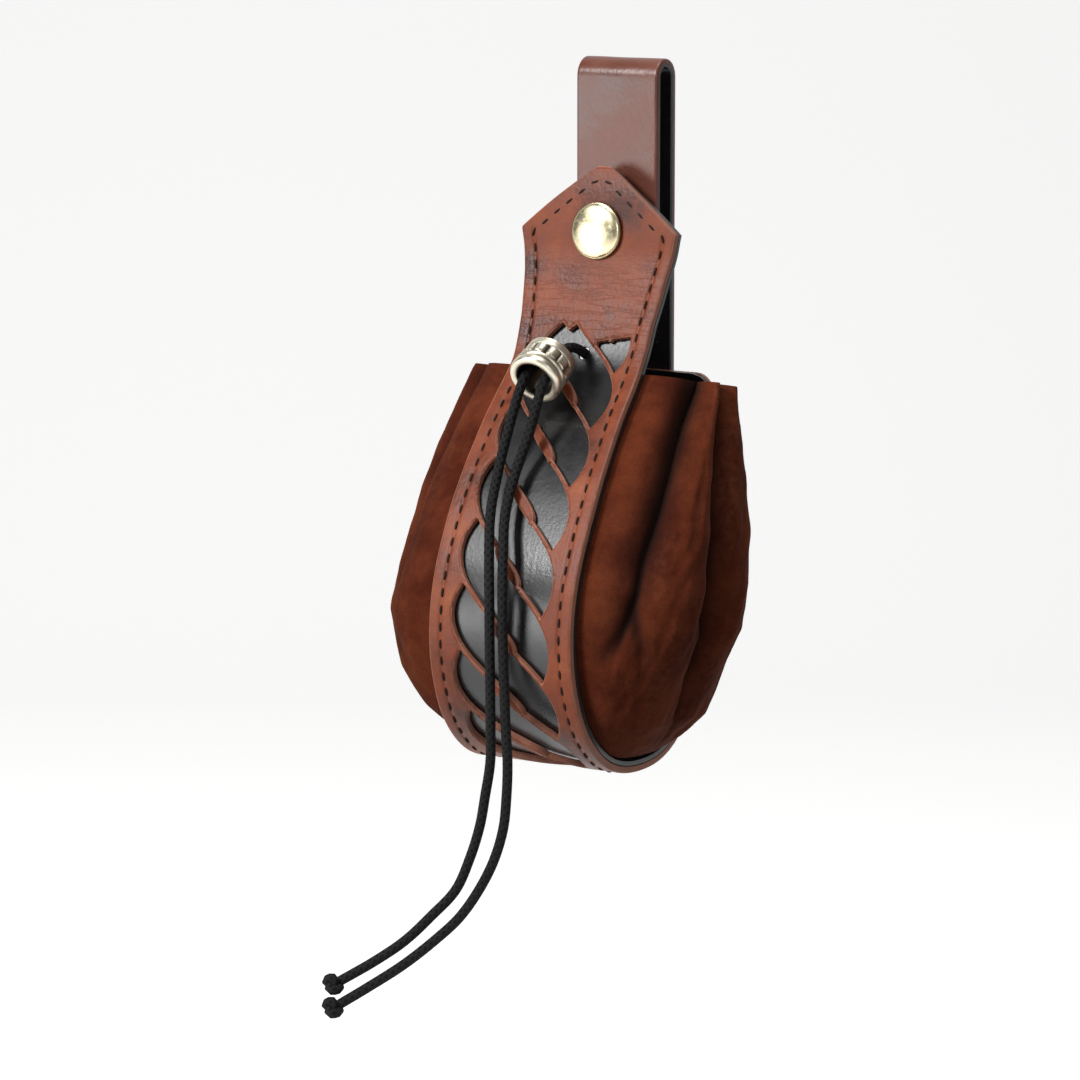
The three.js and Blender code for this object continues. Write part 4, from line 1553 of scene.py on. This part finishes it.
# Points of the cords below the bead, from the head's face and the mouth's height
ROUTES = {
    Side.LEFT: (
        (-8.9, -36.4, -19.5), (-9.4, -40.8, -30.5), (-7.7, -47.5, -41.5), (-4.4, -53.5, -52.5),
        (-1.6, -57.8, -66), (-1.2, -58.3, -79), (-1.3, -57.9, -91), (-1.4, -57.6, -103),
        (-1.5, -57.6, -113.6), (-2.9, -58.3, -124), (-4.2, -59.2, -133), (-6.7, -60.7, -142.6),
        (-10.3, -63, -152.3), (-16.3, -66.7, -160), (-23.1, -71, -167.7), (-30.7, -75.7, -173.9),
        (-39.2, -81.1, -179.8),
    ),
    Side.RIGHT: (
        (-1.6, -36.4, -19.5), (-3.4, -40.8, -30.5), (-2.6, -47.5, -41.5), (0.4, -53.5, -52.5),
        (2.9, -57.8, -66), (3.4, -58.3, -79), (3.6, -57.9, -91), (3.9, -57.6, -103),
        (4.5, -57.6, -113.6), (4.2, -57.8, -124), (3.4, -58.3, -133), (1, -59.8, -142.7),
        (-2.8, -62.2, -151.7), (-7.6, -65.2, -159.8), (-13.5, -68.8, -166.4), (-21.5, -73.9, -174),
        (-30.6, -79.5, -181), (-37.5, -83.9, -186),
    ),
}


@dataclass
class Drawstring:
    """The cord inside the mouth and its two free ends with their knots."""

    finish: bpy.types.Material
    bead: Bead
    sides: dict[Side, SuedeSide]
    knot_overlap: float = 0.7

    def tube(self, name: str, curve: Curve, *nodes: str) -> tuple[bpy.types.Object, Array]:
        """A braided cord along a curve.

        Args:
            name: Name of the piece.
            curve: The cord's middle.
            nodes: CAD nodes that it replaces.

        Returns:
            The object and its ring centres.
        """
        points, faces, places, centre = swept(curve, SIZE.cord / 2, 20, 0.9)
        piece = Piece(name, points, faces, places, {}, 60.0)
        return piece.build(self.finish, Slot.CORD_BLACK, *nodes), centre

    def free_end(self, side: Side) -> Array:
        """Points from inside the band, through the bead and down the chosen route.

        Args:
            side: Which of the two ends.

        Returns:
            The points, one a row.
        """
        x = CORD_PLACES[side]
        lift = self.bead.lift
        rows = [BAND.place(x, HOLE_DISTANCE, SIZE.skin + SIZE.cord_tail), BAND.place(x, HOLE_DISTANCE, 0.0),
                BAND.place(x, HOLE_DISTANCE + SIZE.cord_bend / 5, -SIZE.cord_bend),
                BAND.place(x, HOLE_DISTANCE + SIZE.cord_hole_rise / 2, SIZE.cord / 2 - lift)]
        middle = BAND.place(x, BEAD_DISTANCE, -lift)
        reach = self.bead.axis * SIZE.bead_length / 2
        rows += [middle - reach, middle, middle + reach]
        rows += [np.array([px, SIZE.head_plane + py, SIZE.mouth_z + pz]) for px, py, pz in ROUTES[side]]
        return np.array(rows)

    def knot(self, side: Side, points: Array) -> bpy.types.Object:
        """A plain overhand knot just past the cord's end.

        Args:
            side: Which of the two ends.
            points: The cord's points.

        Returns:
            The knot.
        """
        way = points[-1] - points[-2]
        way /= np.linalg.norm(way)
        turn = np.linspace(-0.2, 2 * math.pi * 0.98, 60)
        loop, squeeze = 1.25, 0.72
        rows = np.stack([loop * (np.sin(turn) + 1.5 * np.sin(2 * turn)) * squeeze,
                         loop * (np.cos(turn) - 1.5 * np.cos(2 * turn)) * squeeze,
                         -loop * np.sin(3 * turn)], 1)
        centre = points[-1] + way * (SIZE.knot_radius - self.knot_overlap)
        curve = Curve.through(aimed(rows, way, centre), 4)
        name = side.name.lower()
        made, _ = self.tube(f"Knot_{name}", curve, f"knot_{name}")
        return made

    def inner_run(self) -> Array:
        """The run inside the mouth, past the top of each fold.

        Returns:
            The points, one a row.
        """
        level = 0.07
        inset = SIZE.suede + SIZE.cord_room + SIZE.cord / 2

        def leave(x: float) -> list[Array]:
            """The run's start at a hole in the band.

            Args:
                x: Place of the hole across the band.

            Returns:
                The points.
            """
            way = math.copysign(1, x - SIZE.bead_shift)
            deep = SIZE.skin + SIZE.cord_tail
            rows = ((0.0, 0.0, deep + SIZE.seat), (0.0, 0.2, deep + 2), (1.0, 3.5, SIZE.skin + 6.5),
                    (3.5, 13.0, SIZE.skin + 8))
            return [BAND.place(x + way * out, HOLE_DISTANCE + down, depth) for out, down, depth in rows]

        left, right = ([self.sides[side].place(fold.top, level, inset) for fold in self.sides[side].folds]
                       for side in Side)
        back_z = SIZE.mouth_z - SIZE.rim_drop - level * SIZE.body_height
        behind = BAND.place(0, BAND.back(back_z), SIZE.skin + inset)
        return np.array([*leave(CORD_PLACES[Side.LEFT]), *left, behind, *right[::-1],
                         *leave(CORD_PLACES[Side.RIGHT])[::-1]])

    def build(self) -> None:
        """Makes the drawstring."""
        self.tube("Drawcord", Curve.through(self.inner_run()), "drawcord")
        for side in Side:
            points = self.free_end(side)
            curve = Curve.through(points)
            name = side.name.lower()
            made, centre = self.tube(f"Cord_{name}", curve, f"cord_{name}")
            knot = self.knot(side, points)
            leaves = BAND.place(CORD_PLACES[side], HOLE_DISTANCE, 0.0) * MM


# Floor, lights and camera


@dataclass
class Studio:
    """A pale floor that curves up behind, soft lights and the camera."""

    azimuth: float = 32.0
    elevation: float = 9.5
    distance: float = 1.33
    lens: float = 150.0
    floor_z: float = -0.42
    lights: tuple = (
        ("Key", (-0.5, -1.15, 0.72), 17, 0.35),
        ("Low", (-0.75, -1.15, -0.12), 5, 0.45),
        ("Fill", (1.1, -0.8, 0.3), 3, 0.6),
        ("Top", (0.0, -0.1, 1.1), 8, 0.6),
    )
    world_light: float = 0.16

    def look(self) -> Array:
        """Unit direction from the pouch to the camera."""
        a, e = math.radians(self.azimuth), math.radians(self.elevation)
        return np.array([math.sin(a) * math.cos(e), -math.cos(a) * math.cos(e), math.sin(e)])

    def floor(self) -> None:
        """Makes the floor and backdrop as one sweep."""
        away = -self.look()
        away[2] = 0
        away /= np.linalg.norm(away)
        across = np.array([-away[1], away[0], 0])
        turn = np.linspace(0, math.pi / 2, 24)
        radius = 0.8
        bend = [(1.2 + radius * math.sin(a), radius * (1 - math.cos(a))) for a in turn]
        run = [(-3.0, 0.0), *bend, (2.0, 4.0)]
        points = [away * r + across * s * 4 + np.array([0, 0, self.floor_z + h])
                  for r, h in run for s in (-1, 1)]
        mesh = bpy.data.meshes.new("Floor")
        mesh.from_pydata([list(p) for p in points], [], grid_faces(len(run), 2).tolist())
        mesh.shade_smooth()
        pale = Surface("Pale floor", {"Base Color": (0.8, 0.8, 0.79, 1), "Roughness": 0.8,
                                      "Emission Color": (1, 1, 1, 1), "Emission Strength": 0.55})
        mesh.materials.append(pale.material)
        made = bpy.data.objects.new("Floor", mesh)
        bpy.context.scene.collection.objects.link(made)
        made.visible_diffuse = False
        made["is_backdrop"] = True

    def light(self, name: str, place: tuple, energy: float, size: float, aim: Vector) -> None:
        """Adds a soft square light.

        Args:
            name: Its name.
            place: Where it stands.
            energy: Its power in watts.
            size: Its width.
            aim: What it points at.
        """
        data = bpy.data.lights.new(name, "AREA")
        data.energy = energy
        data.size = size
        made = bpy.data.objects.new(name, data)
        made.location = place
        made.rotation_euler = (aim - made.location).to_track_quat("-Z", "Y").to_euler()
        bpy.context.scene.collection.objects.link(made)

    def build(self) -> None:
        """Makes the whole setting."""
        self.floor()
        low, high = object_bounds()
        aim = (Vector(low) + Vector(high)) / 2
        data = bpy.data.cameras.new("Camera")
        data.lens = self.lens
        data.clip_end = 20
        camera = bpy.data.objects.new("Camera", data)
        camera.location = aim + Vector(self.look()) * self.distance
        camera.rotation_euler = (aim - camera.location).to_track_quat("-Z", "Y").to_euler()
        bpy.context.scene.collection.objects.link(camera)
        bpy.context.scene.camera = camera
        for name, place, energy, size in self.lights:
            self.light(name, place, energy, size, aim)
        world = bpy.data.worlds.new("World")
        world.use_nodes = True
        sky = world.node_tree.nodes["Background"]
        sky.inputs["Color"].default_value = (1, 1, 1, 1)
        sky.inputs["Strength"].default_value = self.world_light
        bpy.context.scene.world = world
        bpy.context.scene.view_settings.view_transform = "Standard"


def main() -> None:
    """Builds every piece in order."""
    logging.basicConfig(level=logging.INFO, format="%(name)s: %(message)s")
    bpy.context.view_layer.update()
    effects = Effects(grain_effect(), wear_effect(), scratch_effect())
    brown = Leather(
        "Brown leather", dark=(0.05, 0.009, 0.003, 1), middle=(0.19, 0.037, 0.01, 1),
        light=(0.32, 0.085, 0.026, 1), rubbed=(0.4, 0.18, 0.12, 1), rough=0.43, gloss=0.32,
        creases=True).build(effects)
    black = Leather(
        "Black leather", dark=(0.004, 0.004, 0.005, 1), middle=(0.006, 0.006, 0.007, 1),
        light=(0.011, 0.011, 0.012, 1), rubbed=(0.011, 0.011, 0.011, 1), rough=0.3, bump=0.1,
        coat=0.25).build(effects)
    strap = Leather(
        "Strap leather", dark=(0.07, 0.018, 0.01, 1), middle=(0.14, 0.042, 0.024, 1),
        light=(0.2, 0.075, 0.055, 1), rubbed=(0.1, 0.035, 0.022, 1), rough=0.33, bump=0.15,
        reverse=(0.012, 0.01, 0.01, 1)).build(effects)
    suede = Suede().build()
    brass = Metal("Brass", (0.9, 0.8, 0.52, 1), (0.16, 0.11, 0.04, 1), 0.25).build(effects)
    pewter = Metal("Antique metal", (0.72, 0.67, 0.54, 1), (0.05, 0.04, 0.03, 1), 0.33).build(effects)
    cord = Braid("Cord", (0.002, 0.002, 0.002, 1), (0.012, 0.012, 0.013, 1), 4.0, 0.42, 0.00025).build()
    thread = Braid("Thread", (0.012, 0.006, 0.004, 1), (0.05, 0.03, 0.022, 1), 6.0, 4.0, 0.0001).build()
    Band(brown, black, thread).build()
    sides = {
        Side.LEFT: SuedeSide(Side.LEFT, LEFT_FOLDS, LEFT_CREASES, suede),
        Side.RIGHT: SuedeSide(Side.RIGHT, RIGHT_FOLDS, RIGHT_CREASES, suede),
    }
    for side in sides.values():
        side.build()
    LoopStrap(strap).build()
    PressStud(brass).build()
    bead = Bead(pewter)
    bead.build()
    Drawstring(cord, bead, sides).build()
    Studio().build()


if __name__ == "__main__":
    main()
